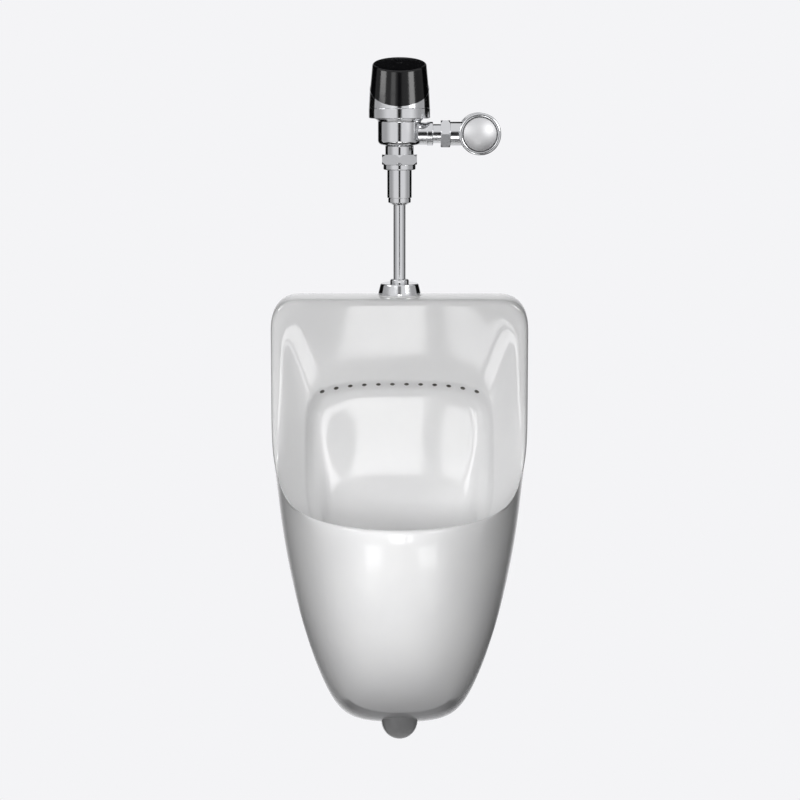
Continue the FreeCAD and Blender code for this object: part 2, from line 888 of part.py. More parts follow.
def bolt_head_depth():
    """Depth of the pocket in the waste flange that takes a bolt head."""
    return outlet_flange_thickness / 2


def outlet_bolts():
    """Flat-headed bolts from the waste flange through the china's ears."""
    end = outlet_face + outlet_pad + washer_thickness + bolt_nut_height + bolt_spare
    r, head, floor = bolt_diameter / 2, bolt_head / 2, bolt_head_depth()
    corners = [(0, fit), (head, fit), (head, floor), (r, floor), (r, end - 1), (r - 1, end), (0, end)]
    return at_outlet_bolts(lambda x: outward(corners, Vector(x, 0, 0)))


def outlet_washers():
    """Washers under the outlet nuts."""
    start = outlet_face + outlet_pad
    ring = tube(bolt_washer, bolt_diameter + 2 * fit, start, start + washer_thickness)
    return at_outlet_bolts(lambda x: outward(ring, Vector(x, 0, 0)))


def outlet_nuts():
    """Nuts that draw the china on to the waste flange."""
    start = outlet_face + outlet_pad + washer_thickness
    end = start + bolt_nut_height

    def nut(x):
        bar = hexagon(bolt_nut, bolt_nut_height, deep(x, start, 0), Vector(0, -1, 0))
        return bar.cut(cylinder(bolt_diameter + 2 * fit, deep(x, start - 1, 0), deep(x, end + 1, 0)))
    return at_outlet_bolts(nut)


def wall_hanger(side):
    """A bent steel hook: plate on the wall, shelf under the rail and an upturned lip."""
    shelf = hanger_plate + 2 * rail_clearance + rail_depth + hanger_plate
    low, top = hanger_base, hanger_base + hanger_height
    tip = low + hanger_lip
    inside = shelf - hanger_plate
    profile = [(0, low, hanger_bend), (shelf, low, hanger_bend), (shelf, tip), (inside, tip),
               (inside, low + hanger_plate), (hanger_plate, low + hanger_plate),
               (hanger_plate, top), (0, top)]
    middle = side * hanger_spacing / 2
    wire = rounded_wire(profile, lambda q: deep(middle - hanger_width / 2, q.x, q.y))
    hook = Part.Face(wire).extrude(Vector(hanger_width, 0, 0))
    holes = []
    for i in (0, 1):
        z = top - hanger_hole_inset - i * hanger_hole_pitch
        holes.append(cylinder(hanger_hole, deep(middle, -1, z), deep(middle, hanger_plate + 1, z)))
    return hook.cut(holes)


# Spud, flush tube and vacuum breaker, on the valve's vertical axis

def spud_body():
    """The brass spud: threaded tube with a flange inside the china."""
    low = china_top - spud_gasket_height - spud_flange_height
    flange = low + spud_flange_height
    top = china_top + spud_above
    bore = tube_diameter / 2 + fit
    r, f = spud_thread / 2, spud_flange / 2
    return upright([(bore, low), (f, low, 1.5), (f, flange), (r, flange), (r, top - 1),
                    (r - 1, top), (bore, top)])


def spud_gasket():
    """The rubber sleeve that the spud squeezes against the china's hole."""
    low = china_top - spud_gasket_height
    bulge = inlet_bore / 2 - fit
    inner = spud_thread / 2 + fit
    return upright([(inner, low), (spud_flange / 2, low), (bulge, low + spud_gasket_height / 4, 4),
                    (bulge, china_top), (inner, china_top)])


def spud_washer():
    """The friction washer between the china and the locknut."""
    return upright(tube(spud_washer_diameter, spud_thread + 2 * fit, china_top, china_top + washer_thickness))


def spud_locknut():
    """The hexagon locknut under the bell flange."""
    start = Vector(0, valve_y, china_top + washer_thickness)
    bar = hexagon(spud_locknut_flats, spud_locknut_height, start, Vector(0, 0, 1))
    return bar.cut(cylinder(spud_thread + 2 * fit, start, start + Vector(0, 0, 2 * spud_locknut_height)))


def slip_nut_base():
    """Height where the slip nut starts on the spud's thread."""
    return china_top + washer_thickness + spud_locknut_height + 1


def slip_gasket():
    """The rubber ring that seals the flush tube on top of the spud."""
    low = china_top + spud_above
    return upright(tube(spud_thread, tube_diameter + 2 * fit, low, low + slip_gasket_height))


def slip_nut():
    """The nut that squeezes the slip gasket, with the round collar seen above the bell flange."""
    low = slip_nut_base()
    hex_top = china_top + bell_height - bell_sheet - running_fit
    top = china_top + bell_height + slip_collar_height
    inside = china_top + spud_above + slip_gasket_height
    bar = hexagon(slip_nut_flats, hex_top - low, Vector(0, valve_y, low), Vector(0, 0, 1))
    r = slip_collar / 2
    collar = upright([(0, hex_top), (r, hex_top), (r, top - 1.5, 0.6), (r - 1.5, top), (0, top)])
    thread, pipe = spud_thread / 2 + fit, tube_diameter / 2 + fit
    bore = upright([(0, low - 1), (thread, low - 1), (thread, inside), (pipe, inside),
                    (pipe, top + 1), (0, top + 1)])
    return bar.fuse(collar).removeSplitter().cut(bore)


def bell_flange():
    """The chromed bell that covers the spud's nuts."""
    low = china_top
    top = china_top + bell_height
    skirt = low + bell_skirt
    hole = slip_collar / 2 + fit
    base, upper = bell_base / 2, bell_top / 2
    s = bell_sheet
    return upright([(base - s, low), (base, low), (base, skirt, 2), (upper, top, 2.6), (hole, top),
                    (hole, top - s), (upper - s, top - s, 1.4), (base - s, skirt - s / 2, 1)])


def flush_tube():
    """The chromed tube from the vacuum breaker down into the spud."""
    low = china_top - spud_gasket_height
    top = breaker_bottom_z + breaker_socket - fit
    return upright(tube(tube_diameter, tube_diameter - 2 * tube_sheet, low, top))


def vacuum_breaker_housing():
    """The chromed sleeve below the coupling nut, with its groove, foot and tapered end."""
    low, top = breaker_bottom_z, breaker_top_z
    foot = low + breaker_foot_height
    r, f, c = breaker_diameter / 2, breaker_foot / 2, breaker_chamber / 2
    bore = tube_diameter / 2 + fit
    neck = f - breaker_groove / 2
    ridge = foot + breaker_groove
    flange, edge = top - breaker_flange_height, breaker_flange / 2
    shelf = low + breaker_socket
    return upright([(bore, low), (bore + 2, low, 0.6), (f, low + breaker_chamfer, 0.8), (f, foot),
                    (neck, foot), (neck, ridge), (r, ridge, 0.6), (r, flange), (edge, flange),
                    (edge, top), (c, top), (c, shelf + breaker_funnel), (bore - tube_sheet, shelf),
                    (bore, shelf)])


def vacuum_breaker_insert():
    """The plastic funnel that hangs in the housing and carries the sack."""
    top = breaker_top_z
    low = top - insert_length
    r = insert_bore / 2
    outer = r + insert_wall
    edge = breaker_chamber / 2 + insert_overlap
    return upright([(r, low), (outer, low), (outer, top), (edge, top), (edge, top + insert_lip),
                    (r + insert_flare, top + insert_lip), (r, top - 2 * insert_flare)])


def vacuum_breaker_sack():
    """The rubber sack that closes the air slots when water runs."""
    top = breaker_top_z - running_fit
    low = top - sack_length
    bend = breaker_top_z - insert_length - sack_wall
    inner = insert_bore / 2 + insert_wall + fit
    mouth = sack_mouth / 2
    return upright([(inner, top), (inner + sack_wall, top), (inner + sack_wall, bend), (mouth, low),
                    (mouth - sack_wall, low), (inner, bend)])


def coupling_gasket():
    """The friction ring that seals the housing against the valve outlet."""
    inner = breaker_chamber / 2 + insert_overlap + fit
    ring = tube(breaker_flange, 2 * inner, breaker_top_z, breaker_top_z + washer_thickness)
    return upright(ring)


def coupling_nut():
    """The large nut that holds the vacuum breaker to the valve: hexagon above, round skirt below."""
    low = supply_z + body_base - neck_height - coupling_height
    hex_low = low + coupling_height - coupling_hex_height
    top = low + coupling_height
    bar = hexagon(coupling_flats, coupling_hex_height, Vector(0, valve_y, hex_low), Vector(0, 0, 1))
    r = coupling_skirt / 2
    skirt = upright([(0, low), (r, low, 1.6), (r, hex_low, 0.8), (0, hex_low)])
    shelf = breaker_top_z - breaker_flange_height - fit
    sleeve, thread = breaker_diameter / 2 + fit, outlet_thread / 2 + fit
    bore = upright([(0, low - 1), (sleeve, low - 1), (sleeve, shelf), (thread, shelf), (thread, top + 1),
                    (0, top + 1)])
    return bar.fuse(skirt).cut(bore)


# Valve body and what it holds

def valve_body():
    """The cast valve body: bowl for the diaphragm, outlet barrel and neck, and the inlet horn."""
    base, rim = supply_z + body_base, supply_z + body_rim
    neck = base - neck_height
    outlet = breaker_top_z + washer_thickness
    r, t, n, o = body_diameter / 2, cap_thread / 2, neck_diameter / 2, outlet_thread / 2
    shell = upright([(0, outlet), (o, outlet), (o, neck), (n, neck), (n, base, 2), (r, base, 8),
                     (r, ring_z - body_flare, 2), (t, ring_z - 1), (t, rim), (0, rim)])
    h, b = horn_diameter / 2, horn_band / 2
    horn = sideways([(0, 0), (h, 0), (h, horn_band_start), (b, horn_band_start, 0.8), (b, horn_end, 0.8),
                     (0, horn_end)])
    barrel = barrel_bore / 2 + barrel_wall
    floor, seat, side = base + body_floor, supply_z + seat_height, r - body_wall
    chamber = upright([(barrel, floor), (side, floor, 4), (side, rim + 1), (0, rim + 1), (0, seat),
                       (barrel, seat)])
    bore = upright(rod(barrel_bore, outlet - 1, rim + 1))
    way, socket, shoulder = waterway / 2, tail_diameter / 2 + fit, horn_end - tail_insert
    inlet = sideways([(0, barrel + 2), (way, barrel + 2), (way, shoulder), (socket, shoulder),
                      (socket, horn_end + 1), (0, horn_end + 1)])
    return shell.fuse(horn).cut([chamber, bore, inlet])


def guide_hole():
    """Radius of the hole through the diaphragm for the guide's neck."""
    return barrel_bore / 2 - barrel_wall


def diaphragm_seat():
    """Height of the diaphragm's underside over the barrel."""
    return supply_z + seat_height + seat_gap


def diaphragm():
    """The rubber disc that seals on the barrel and is clamped at its edge."""
    seat = diaphragm_seat()
    ring = barrel_bore / 2 + barrel_wall + 2
    edge = cap_thread / 2 - diaphragm_margin
    top = seal_z + diaphragm_thickness
    hole = guide_hole()
    return upright([(hole, seat), (ring, seat), (ring, seal_z), (edge, seal_z), (edge, top), (hole, top)])


def diaphragm_guide():
    """The guide that slides in the barrel under the diaphragm, with its water slots."""
    seat = diaphragm_seat() - fit
    neck = guide_hole() - running_fit
    outer = barrel_bore / 2 - running_fit
    inner = outer - guide_wall
    low = seat - guide_length
    top = seal_z + diaphragm_thickness + relief_overlap
    web = seat - guide_web
    guide = upright([(inner, low), (outer, low, 0.8), (outer, seat), (neck, seat), (neck, top),
                     (guide_drilling / 2, top), (guide_drilling / 2, web), (inner, web)])
    slots = []
    for i in range(guide_slots):
        angle = 2 * math.pi * i / guide_slots
        out = Vector(math.cos(angle), math.sin(angle), 0) * (2 * outer)
        centre = Vector(0, valve_y, low + guide_slot)
        slots.append(cylinder(guide_slot, centre, centre + out))
    return guide.cut(slots)


def relief_disc():
    """The disc on top of the diaphragm that holds the guide to it."""
    low = seal_z + diaphragm_thickness + fit
    step = low + relief_overlap
    top = low + relief_thickness
    neck = guide_hole() - running_fit + fit
    r, bleed = relief_diameter / 2, relief_bleed / 2
    return upright([(bleed, top), (bleed, step), (neck, step), (neck, low), (r, low, 0.6), (r, top, 0.8)])


def inner_cover():
    """The moulded cover that clamps the diaphragm and carries the pilot hole."""
    low, top = cover_base_z, chassis_z
    flange = low + inner_cover_flange
    ceiling = low + diaphragm_lift + relief_thickness + relief_gap
    edge, r, pilot = cap_thread / 2 - fit, inner_cover_dome / 2, pilot_hole / 2
    room = relief_diameter / 2 + relief_room
    return upright([(pilot, ceiling), (room, ceiling, 3), (room + relief_room, low, 1), (edge, low),
                    (edge, flange), (r, flange), (r, top, 2), (pilot, top)])


def locking_ring():
    """The chromed ring that screws down on the valve body."""
    low, top = ring_z, head_z
    r, inner, hole = ring_diameter / 2, cap_thread / 2 + fit, ring_shoulder / 2
    shoulder = cover_base_z + inner_cover_flange
    return upright([(inner, low), (r, low, 1.4), (r, top, 0.8), (hole, top), (hole, shoulder),
                    (inner, shoulder)])


def cover_radius(z):
    """Outer radius of the head cover, which tapers upward."""
    return ring_diameter / 2 - cover_step - (z - head_z) * cover_taper / (supply_z + visor_side - head_z)


def visor_cut(gap):
    """A large block above the slanted parting plane of cover and lens."""
    size = 3 * ring_diameter
    slab = Part.makeBox(size, size, size, Vector(-size / 2, -size / 2, 0))
    slab.rotate(Vector(0, 0, 0), Vector(1, 0, 0), visor_slope)
    slab.translate(Vector(0, valve_y, supply_z + visor_side + gap))
    return slab


def head_cover():
    """The chromed collar of the head, low in front and high at the back."""
    low, top = head_z, supply_z + lens_shoulder
    s = cover_sheet
    flange = low + s
    hole = ring_shoulder / 2 + cover_flange_set
    foot, head = cover_radius(low), cover_radius(top)
    shell = upright([(hole, low), (foot, low, 0.5), (head, top), (head - s, top),
                     (cover_radius(flange) - s, flange), (hole, flange)])
    holes = cover_screw_bars(cover_screw + 2 * fit, cover_screw_head + 2 * fit, cover_screw_sink + 1)
    return shell.cut(visor_cut(0.0)).cut(holes)


def dome_centre():
    """Centre of the lens's spherical top, set back so that the top leans forward."""
    rise = math.sqrt(dome_radius ** 2 - dome_shift ** 2)
    return Vector(0, valve_y + dome_shift, dome_z - rise)


def head_form(shrink):
    """The solid form under the lens skin: a tapered drum cut by a forward-leaning dome."""
    parting = supply_z + visor_side
    shoulder = supply_z + lens_shoulder
    foot = cover_radius(parting) - lens_step - shrink
    upper = lens_top_radius - shrink
    slope = (foot - upper) / (shoulder - parting)
    low, high = head_z - lens_overrun, shoulder + lens_overrun
    drum = upright([(0, low), (foot + slope * (parting - low), low),
                    (upper - slope * (high - shoulder), high), (0, high)])
    dome = Part.makeSphere(dome_radius - shrink, dome_centre())
    form = drum.common(dome.toNurbs())
    rim = [e for e in form.Edges if e.BoundBox.ZMax > parting + lens_overrun and e.BoundBox.XLength > upper]
    return form.makeFillet(dome_edge, rim)


def lens_window():
    """The dark domed window over the sensor, open below the parting plane."""
    shell = head_form(0.0).cut(head_form(lens_sheet)).common(visor_cut(fit))
    return shell.cut(upright(rod(button_diameter + 2 * running_fit, board_z, dome_z + dome_edge)))


def at_angle(angle, radius, z):
    """A point round the valve axis; angle 0 is towards the wall."""
    turn = math.radians(angle)
    return Vector(radius * math.sin(turn), valve_y + radius * math.cos(turn), z)


def battery_places(z):
    """Centres of the four cells round the head."""
    return [at_angle(angle, battery_circle, z) for angle in battery_angles]


def cover_screw_height():
    """Height of the cover screws, in bosses on the edge of the chassis."""
    return chassis_z + chassis_thickness / 2 - cover_screw_drop


def cover_screw_bars(shank, head, proud):
    """Radial bars at the cover screws' places: a shank inwards and a wider head outwards."""
    z = cover_screw_height()
    seat = cover_radius(z) - cover_screw_sink
    radii = (inner_cover_dome / 2 + cover_screw, seat, seat + proud)
    bars = []
    for angle in cover_screw_angles:
        tip, mid, end = [at_angle(angle, radius, z) for radius in radii]
        bars.append(cylinder(shank, tip, mid).fuse(cylinder(head, mid, end)))
    return bars


def cover_screws():
    """Small round-headed socket screws through the back of the cover."""
    z = cover_screw_height()
    crown = cover_radius(z) - cover_screw_sink + cover_screw_crown
    screws = []
    bars = cover_screw_bars(cover_screw, cover_screw_head, cover_screw_crown)
    for angle, bar in zip(cover_screw_angles, bars):
        socket = cylinder(cover_screw_head / 2, at_angle(angle, crown - 1, z), at_angle(angle, crown + 1, z))
        screws.append(bar.cut(socket))
    return Part.makeCompound(screws)


def chassis():
    """The moulded base in the head: battery cups, board posts and bosses for the cover screws."""
    low, top = chassis_z, chassis_z + chassis_thickness
    z = cover_screw_height()
    edge = cover_radius(top) - cover_sheet - chassis_margin
    hole = solenoid_diameter / 2 + solenoid_flange + fit
    base = upright([(hole, low), (edge, low, 0.5), (edge, top, 0.5), (hole, top)])
    pocket = battery_diameter + 2 * running_fit
    lap = top - chassis_thickness / 4
    rise = Vector(0, 0, battery_cup_height)
    cups = [cylinder(pocket + 2 * battery_cup_wall, p, p + rise) for p in battery_places(lap)]
    holes = [cylinder(pocket, p, p + 2 * rise) for p in battery_places(top)]
    posts = []
    for side in (-1, 1):
        foot = Vector(side * board_post_spacing / 2, valve_y + board_post_reach, lap)
        posts.append(cylinder(board_post, foot, Vector(foot.x, foot.y, board_z)))
    inner = inner_cover_dome / 2 + cover_screw / 2
    bosses = [cylinder(cover_screw_boss, at_angle(a, inner, z), at_angle(a, edge, z))
              for a in cover_screw_angles]
    holes += cover_screw_bars(cover_screw + 2 * fit, cover_screw + 2 * fit, cover_screw_sink)
    return base.fuse(cups + posts + bosses).cut(holes)


def batteries():
    """Four round cells standing in the cups, each with its small raised end."""
    low = chassis_z + chassis_thickness
    top = low + battery_length
    shoulder = top - battery_tip_height
    r, tip = battery_diameter / 2, battery_tip / 2
    corners = [(0, low), (r, low, 0.6), (r, shoulder, 0.6), (tip, shoulder), (tip, top), (0, top)]
    return Part.makeCompound([upright(corners, p.x, p.y) for p in battery_places(0.0)])


def sensor_module():
    """The sealed sensor housing behind the front of the lens, with bevelled front corners."""
    low = chassis_z + chassis_thickness
    half, face = sensor_block_width / 2, sensor_face_width / 2
    front, back, side = sensor_block_front, sensor_block_back, sensor_block_front - sensor_block_bevel
    corners = [(-half, back, 2), (half, back, 2), (half, side, 2), (face, front, 3),
               (-face, front, 3), (-half, side, 2)]
    wire = rounded_wire(corners, lambda q: Vector(q.x, valve_y - q.y, low))
    return Part.Face(wire).extrude(Vector(0, 0, board_z - low))


def sensor_eyes():
    """The emitter and receiver, two small domed lenses facing forward."""
    z = supply_z + eye_height
    face = spud_setback + sensor_block_front
    tip = face + eye_length
    r = eye_diameter / 2
    corners = [(0, face), (r, face), (r, tip, r - running_fit), (0, tip)]
    return Part.makeCompound([outward(corners, Vector(side * eye_spacing / 2, 0, z)) for side in (-1, 1)])


def circuit_board():
    """The round board on the sensor housing and the chassis posts, with the push switch on it."""
    top = board_z + board_thickness
    tongue = sensor_block_front - sensor_block_bevel
    disc = upright(rod(2 * board_radius, board_z, top))
    lug = block(Vector(-board_lug / 2, valve_y - tongue, board_z), Vector(board_lug / 2, valve_y, top))
    r, crown = switch_diameter / 2, top + switch_height
    switch = upright([(0, top), (r, top), (r, crown, 0.8), (0, crown)])
    return disc.fuse([lug, switch])


def plunger_room():
    """Height of the ceiling of the solenoid's bore."""
    return chassis_z + plunger_length + plunger_travel + plunger_spring_room


def solenoid():
    """The latching coil that opens the pilot hole."""
    low = chassis_z
    r = solenoid_diameter / 2
    flange, step = r + solenoid_flange, low + chassis_thickness
    bore = plunger_diameter / 2 + running_fit
    top = low + solenoid_height
    return upright([(bore, low), (flange, low), (flange, step, 0.5), (r, step), (r, top, 1.5), (0, top),
                    (0, plunger_room()), (bore, plunger_room())])


def solenoid_plunger():
    """The small iron plunger that rests on the pilot seat."""
    low = chassis_z + fit
    r, top = plunger_diameter / 2, chassis_z + fit + plunger_length
    return upright([(0, low), (plunger_tip / 2, low), (r, low + r / 2), (r, top, 0.5), (0, top)])


def solenoid_spring():
    """The spring that returns the plunger."""
    low = chassis_z + fit + plunger_length + spring_gap
    length = plunger_room() - low - spring_gap
    foot = Vector(0, valve_y, low)
    return coil(plunger_diameter - plunger_wire, plunger_wire, foot, length, Vector(0, 0, 1))


def button_flange_top():
    """Height of the button's flange under the lens at its lowest point."""
    reach = dome_shift + button_flange / 2
    return dome_centre().z + math.sqrt((dome_radius - lens_sheet) ** 2 - reach ** 2) - running_fit


def override_button():
    """The push button in the top of the lens, domed like the lens and held by a flange below it."""
    top = button_flange_top()
    low = top - button_flange_thickness
    r, f, s = button_diameter / 2, button_flange / 2, button_stem / 2
    stem = board_z + board_thickness + switch_height + button_travel + running_fit
    high = dome_z + dome_edge
    pin = upright([(0, stem), (s, stem), (s, low), (f, low), (f, top), (r, top), (r, high), (0, high)])
    return pin.common(Part.makeSphere(dome_radius + running_fit, dome_centre()))


def button_spring():
    """The spring under the button, standing on the board round the switch."""
    low = board_z + board_thickness + spring_gap
    length = button_flange_top() - button_flange_thickness - spring_gap - low
    return coil(button_spring_diameter, button_wire, Vector(0, valve_y, low), length, Vector(0, 0, 1))


# Supply branch

def tailpiece():
    """The adjustable tube between the valve and the stop, with its ring groove."""
    start = horn_end - tail_insert + fit
    end = stop_socket_end - 1
    r, way = tail_diameter / 2, waterway / 2
    groove = r - o_ring_section / 2 - fit
    near = o_ring_place - o_ring_section / 2 - running_fit
    far = o_ring_place + o_ring_section / 2 + running_fit
    return sideways([(way, start), (r, start), (r, near), (groove, near), (groove, far), (r, far), (r, end),
                     (way, end)])


def tail_o_ring():
    """The ring that seals the tailpiece in the stop."""
    outer = tail_diameter / 2 + fit / 2
    inner = tail_diameter / 2 - o_ring_section / 2 - fit / 2
    near, far = o_ring_place - o_ring_section / 2, o_ring_place + o_ring_section / 2
    return sideways([(inner, near), (outer, near, 0.5), (outer, far, 0.5), (inner, far)])


def tail_lock_ring():
    """The split ring that the nut squeezes on to the tailpiece."""
    start = tail_nut_start + tail_nut_lip
    return sideways(tube(stop_thread, tail_diameter + 2 * fit, start, start + lock_ring_width))


def tail_nut():
    """The hexagon nut that locks the tailpiece to the stop."""
    start = Vector(tail_nut_start, valve_y, supply_z)
    bar = hexagon(tail_nut_flats, tail_nut_length, start, Vector(1, 0, 0))
    lip = tail_nut_start + tail_nut_lip
    low, high = tail_nut_start - 1, tail_nut_start + tail_nut_length + 1
    pipe, thread = tail_diameter / 2 + fit, stop_thread / 2 + fit
    bore = sideways([(0, low), (pipe, low), (pipe, lip), (thread, lip), (thread, high), (0, high)])
    return bar.cut(bore)


def stop_body():
    """The control stop: a barrel square to the wall with a horn towards the valve."""
    thread_start = tail_nut_start + tail_nut_lip + lock_ring_width
    horn_start = tail_nut_start + tail_nut_length
    r, n = stop_barrel / 2, stop_neck / 2
    barrel = outward([(0, stop_back), (n, stop_back, 1), (n, stop_neck_end, 1),
                      (r, stop_neck_end + stop_shoulder, 3), (r, stop_front),
                      (0, stop_front)], stop_centre)
    t, h = stop_thread / 2, stop_horn / 2
    horn = sideways([(0, thread_start), (t, thread_start), (t, horn_start), (h, horn_start, 0.8),
                     (h, stop_offset), (0, stop_offset)])
    pipe, orifice, chamber = adapter_diameter / 2 + fit, stop_orifice / 2, stop_chamber / 2
    low, shoulder, high = stop_back - 1, stop_back + adapter_insert, stop_front + 1
    inside = outward([(0, low), (pipe, low), (pipe, shoulder), (orifice, shoulder), (orifice, stop_seat),
                      (chamber, stop_seat), (chamber, high), (0, high)], stop_centre)
    tail, way = tail_diameter / 2 + fit, waterway / 2
    socket = sideways([(0, thread_start - 1), (tail, thread_start - 1), (tail, stop_socket_end),
                       (way, stop_socket_end), (way, stop_offset), (0, stop_offset)])
    return barrel.fuse(horn).cut([inside, socket])


def bonnet_boss_top():
    """Depth of the face of the bonnet's boss under the cap."""
    return stop_front + bonnet_floor + bonnet_boss_height


def stop_bonnet():
    """The bonnet: rolled outer ring, boss for the cap and a plug in the barrel."""
    face = stop_front
    plug, rim, floor = face - bonnet_plug, face + bonnet_rim, face + bonnet_floor
    top = bonnet_boss_top()
    r, well, boss = bonnet_diameter / 2, bonnet_inner / 2, bonnet_boss / 2
    fitted = stop_chamber / 2 - fit
    bore = stop_screw_thread / 2 + running_fit
    return outward([(bore, plug), (fitted, plug), (fitted, face), (r, face, 2.5), (r, rim, 2.8),
                    (well, rim, 2.4), (well, floor), (boss, floor), (boss, top, 1),
                    (bore, top)], stop_centre)


def stop_cap():
    """The free-spinning domed cap over the stop screw."""
    base = stop_front + bonnet_floor + running_fit
    top = base + stop_cap_height
    r, s = stop_cap_diameter / 2, stop_cap_sheet
    inner = bonnet_boss / 2 + running_fit
    crown = stop_cap_height - stop_cap_skirt
    bend = (r * r + crown ** 2) / (2 * crown)
    shell = outward([(0, base), (r, base, 0.8), (r, top + crown), (0, top + crown)], stop_centre)
    form = shell.common(Part.makeSphere(bend, stop_centre + Vector(0, bend - top, 0)))
    rim = [e for e in form.Edges if e.BoundBox.YMin < -(base + s) and e.BoundBox.XLength > r]
    form = form.makeFillet(2.0, rim)
    low, knee = base - 1, base + stop_cap_skirt
    room = outward([(0, low), (inner, low), (inner, knee), (inner - 2 * s, knee + s),
                    (0, knee + s)], stop_centre)
    return form.cut(room)


def stop_screw():
    """The slotted screw that drives the piston; it turns in the bonnet without rising."""
    plug = stop_front - bonnet_plug
    head = bonnet_boss_top() + stop_screw_head_gap
    r, collar = stop_screw_thread / 2, stop_screw_collar / 2
    thread = r - thread_depth
    end = stop_seat + stop_travel + stop_washer + piston_floor + running_fit
    step = plug - running_fit
    screw = outward([(0, end), (thread, end), (thread, step - screw_collar_width),
                     (collar, step - screw_collar_width), (collar, step), (r, step), (r, head),
                     (0, head)], stop_centre)
    half = screw_slot_width / 2
    slot = block(deep(stop_offset - collar, head + 1, supply_z - half),
                 deep(stop_offset + collar, head - screw_slot_depth, supply_z + half))
    return screw.cut(slot)


def stop_piston():
    """The piston that the screw moves to close the stop, with a drilled guide flange."""
    low = stop_seat + stop_travel + stop_washer
    high = low + stop_piston_length
    step, floor = high - stop_guide_thickness, low + piston_floor
    nut = stop_screw_thread / 2 - thread_depth + running_fit
    r, guide = stop_piston_diameter / 2, stop_chamber / 2 - running_fit
    body = outward([(0, low), (r, low), (r, step), (guide, step, 0.4), (guide, high, 0.4),
                    (nut, high), (nut, floor), (0, floor)], stop_centre)
    circle = (r + guide) / 2
    drill = min(stop_guide_hole, 2 * (guide - circle) - 1)
    holes = []
    for i in range(stop_guide_holes):
        angle = 2 * math.pi * i / stop_guide_holes
        x = stop_offset + circle * math.cos(angle)
        z = supply_z + circle * math.sin(angle)
        holes.append(cylinder(drill, deep(x, step - 1, z), deep(x, high + 1, z)))
    return body.cut(holes)


def stop_seat_washer():
    """The rubber washer on the piston's end."""
    low = stop_seat + stop_travel
    high = low + stop_washer
    r = stop_washer_diameter / 2
    return outward([(0, low), (r, low, 0.8), (r, high), (0, high)], stop_centre)


def stop_spring():
    """The spring that keeps the piston on its thread."""
    start = stop_seat + stop_travel + stop_washer + stop_piston_length + spring_gap
    length = stop_front - bonnet_plug - start - spring_gap
    return coil(2 * stop_screw_collar, stop_wire, deep(stop_offset, start, supply_z), length,
                Vector(0, -1, 0), stop_spring_turns)


def supply_adapter():
    """The sweat adapter that joins the house pipe to the stop."""
    end = stop_back + adapter_insert - fit
    return outward(tube(adapter_diameter, pipe_bore, 0.0, end), stop_centre)


def cover_tube():
    """The chromed tube that hides the adapter."""
    inner = cover_tube_diameter - 2 * cover_tube_sheet
    return outward(tube(cover_tube_diameter, inner, wall_flange_height / 2, stop_back - fit), stop_centre)


def set_screw_hole(diameter, inner, outer):
    """A radial bar under the wall flange's collar."""
    depth = wall_flange_height - set_screw
    low = stop_centre + Vector(0, -depth, -outer)
    return cylinder(diameter, low, stop_centre + Vector(0, -depth, -inner))


def wall_flange():
    """The chromed flange against the wall, with a collar for its set screw."""
    r, c, s = wall_flange_diameter / 2, wall_flange_collar / 2, wall_flange_sheet
    hole = cover_tube_diameter / 2 + fit
    top, collar = wall_flange_height, wall_flange_height / 2
    inside = collar - s
    shell = outward([(r - s, 0), (r, 0), (r, wall_flange_edge, 1.5), (c, collar, 2), (c, top, 0.8),
                     (hole, top), (hole, inside), (c - s, inside),
                     (r - s, wall_flange_edge / 2)], stop_centre)
    return shell.cut(set_screw_hole(set_screw + 2 * fit, hole - 1, c + 2))


def flange_set_screw():
    """The set screw that grips the cover tube."""
    inner = cover_tube_diameter / 2 + fit
    outer = wall_flange_collar / 2 - 0.2
    return set_screw_hole(set_screw, inner, outer).cut(set_screw_hole(set_screw / 2, outer - 1, outer + 1))


PIECES = {
    "china_bowl": china_bowl,
    "drain_strainer": drain_strainer,
    "outlet_gasket": outlet_gasket,
    "outlet_flange": outlet_flange,
    "outlet_bolts": outlet_bolts,
    "outlet_washers": outlet_washers,
    "outlet_nuts": outlet_nuts,
    "wall_hanger_left": lambda: wall_hanger(-1),
    "wall_hanger_right": lambda: wall_hanger(1),
    "spud_body": spud_body,
    "spud_gasket": spud_gasket,
    "spud_washer": spud_washer,
    "spud_locknut": spud_locknut,
    "slip_gasket": slip_gasket,
    "slip_nut": slip_nut,
    "bell_flange": bell_flange,
    "flush_tube": flush_tube,
    "vacuum_breaker_housing": vacuum_breaker_housing,
    "vacuum_breaker_insert": vacuum_breaker_insert,
    "vacuum_breaker_sack": vacuum_breaker_sack,
    "coupling_gasket": coupling_gasket,
    "coupling_nut": coupling_nut,
    "valve_body": valve_body,
    "diaphragm": diaphragm,
    "diaphragm_guide": diaphragm_guide,
    "relief_disc": relief_disc,
    "inner_cover": inner_cover,
    "locking_ring": locking_ring,
    "head_cover": head_cover,
    "cover_screws": cover_screws,
    "lens_window": lens_window,
    "chassis": chassis,
    "batteries": batteries,
    "sensor_module": sensor_module,
    "sensor_eyes": sensor_eyes,
    "circuit_board": circuit_board,
    "solenoid": solenoid,
    "solenoid_plunger": solenoid_plunger,
    "solenoid_spring": solenoid_spring,
    "override_button": override_button,
    "button_spring": button_spring,
    "tailpiece": tailpiece,
    "tail_o_ring": tail_o_ring,
    "tail_lock_ring": tail_lock_ring,
    "tail_nut": tail_nut,
    "stop_body": stop_body,
    "stop_bonnet": stop_bonnet,
    "stop_cap": stop_cap,
    "stop_screw": stop_screw,
    "stop_piston": stop_piston,
    "stop_seat_washer": stop_seat_washer,
    "stop_spring": stop_spring,
    "supply_adapter": supply_adapter,
    "cover_tube": cover_tube,
    "wall_flange": wall_flange,
    "flange_set_screw": flange_set_screw,
}

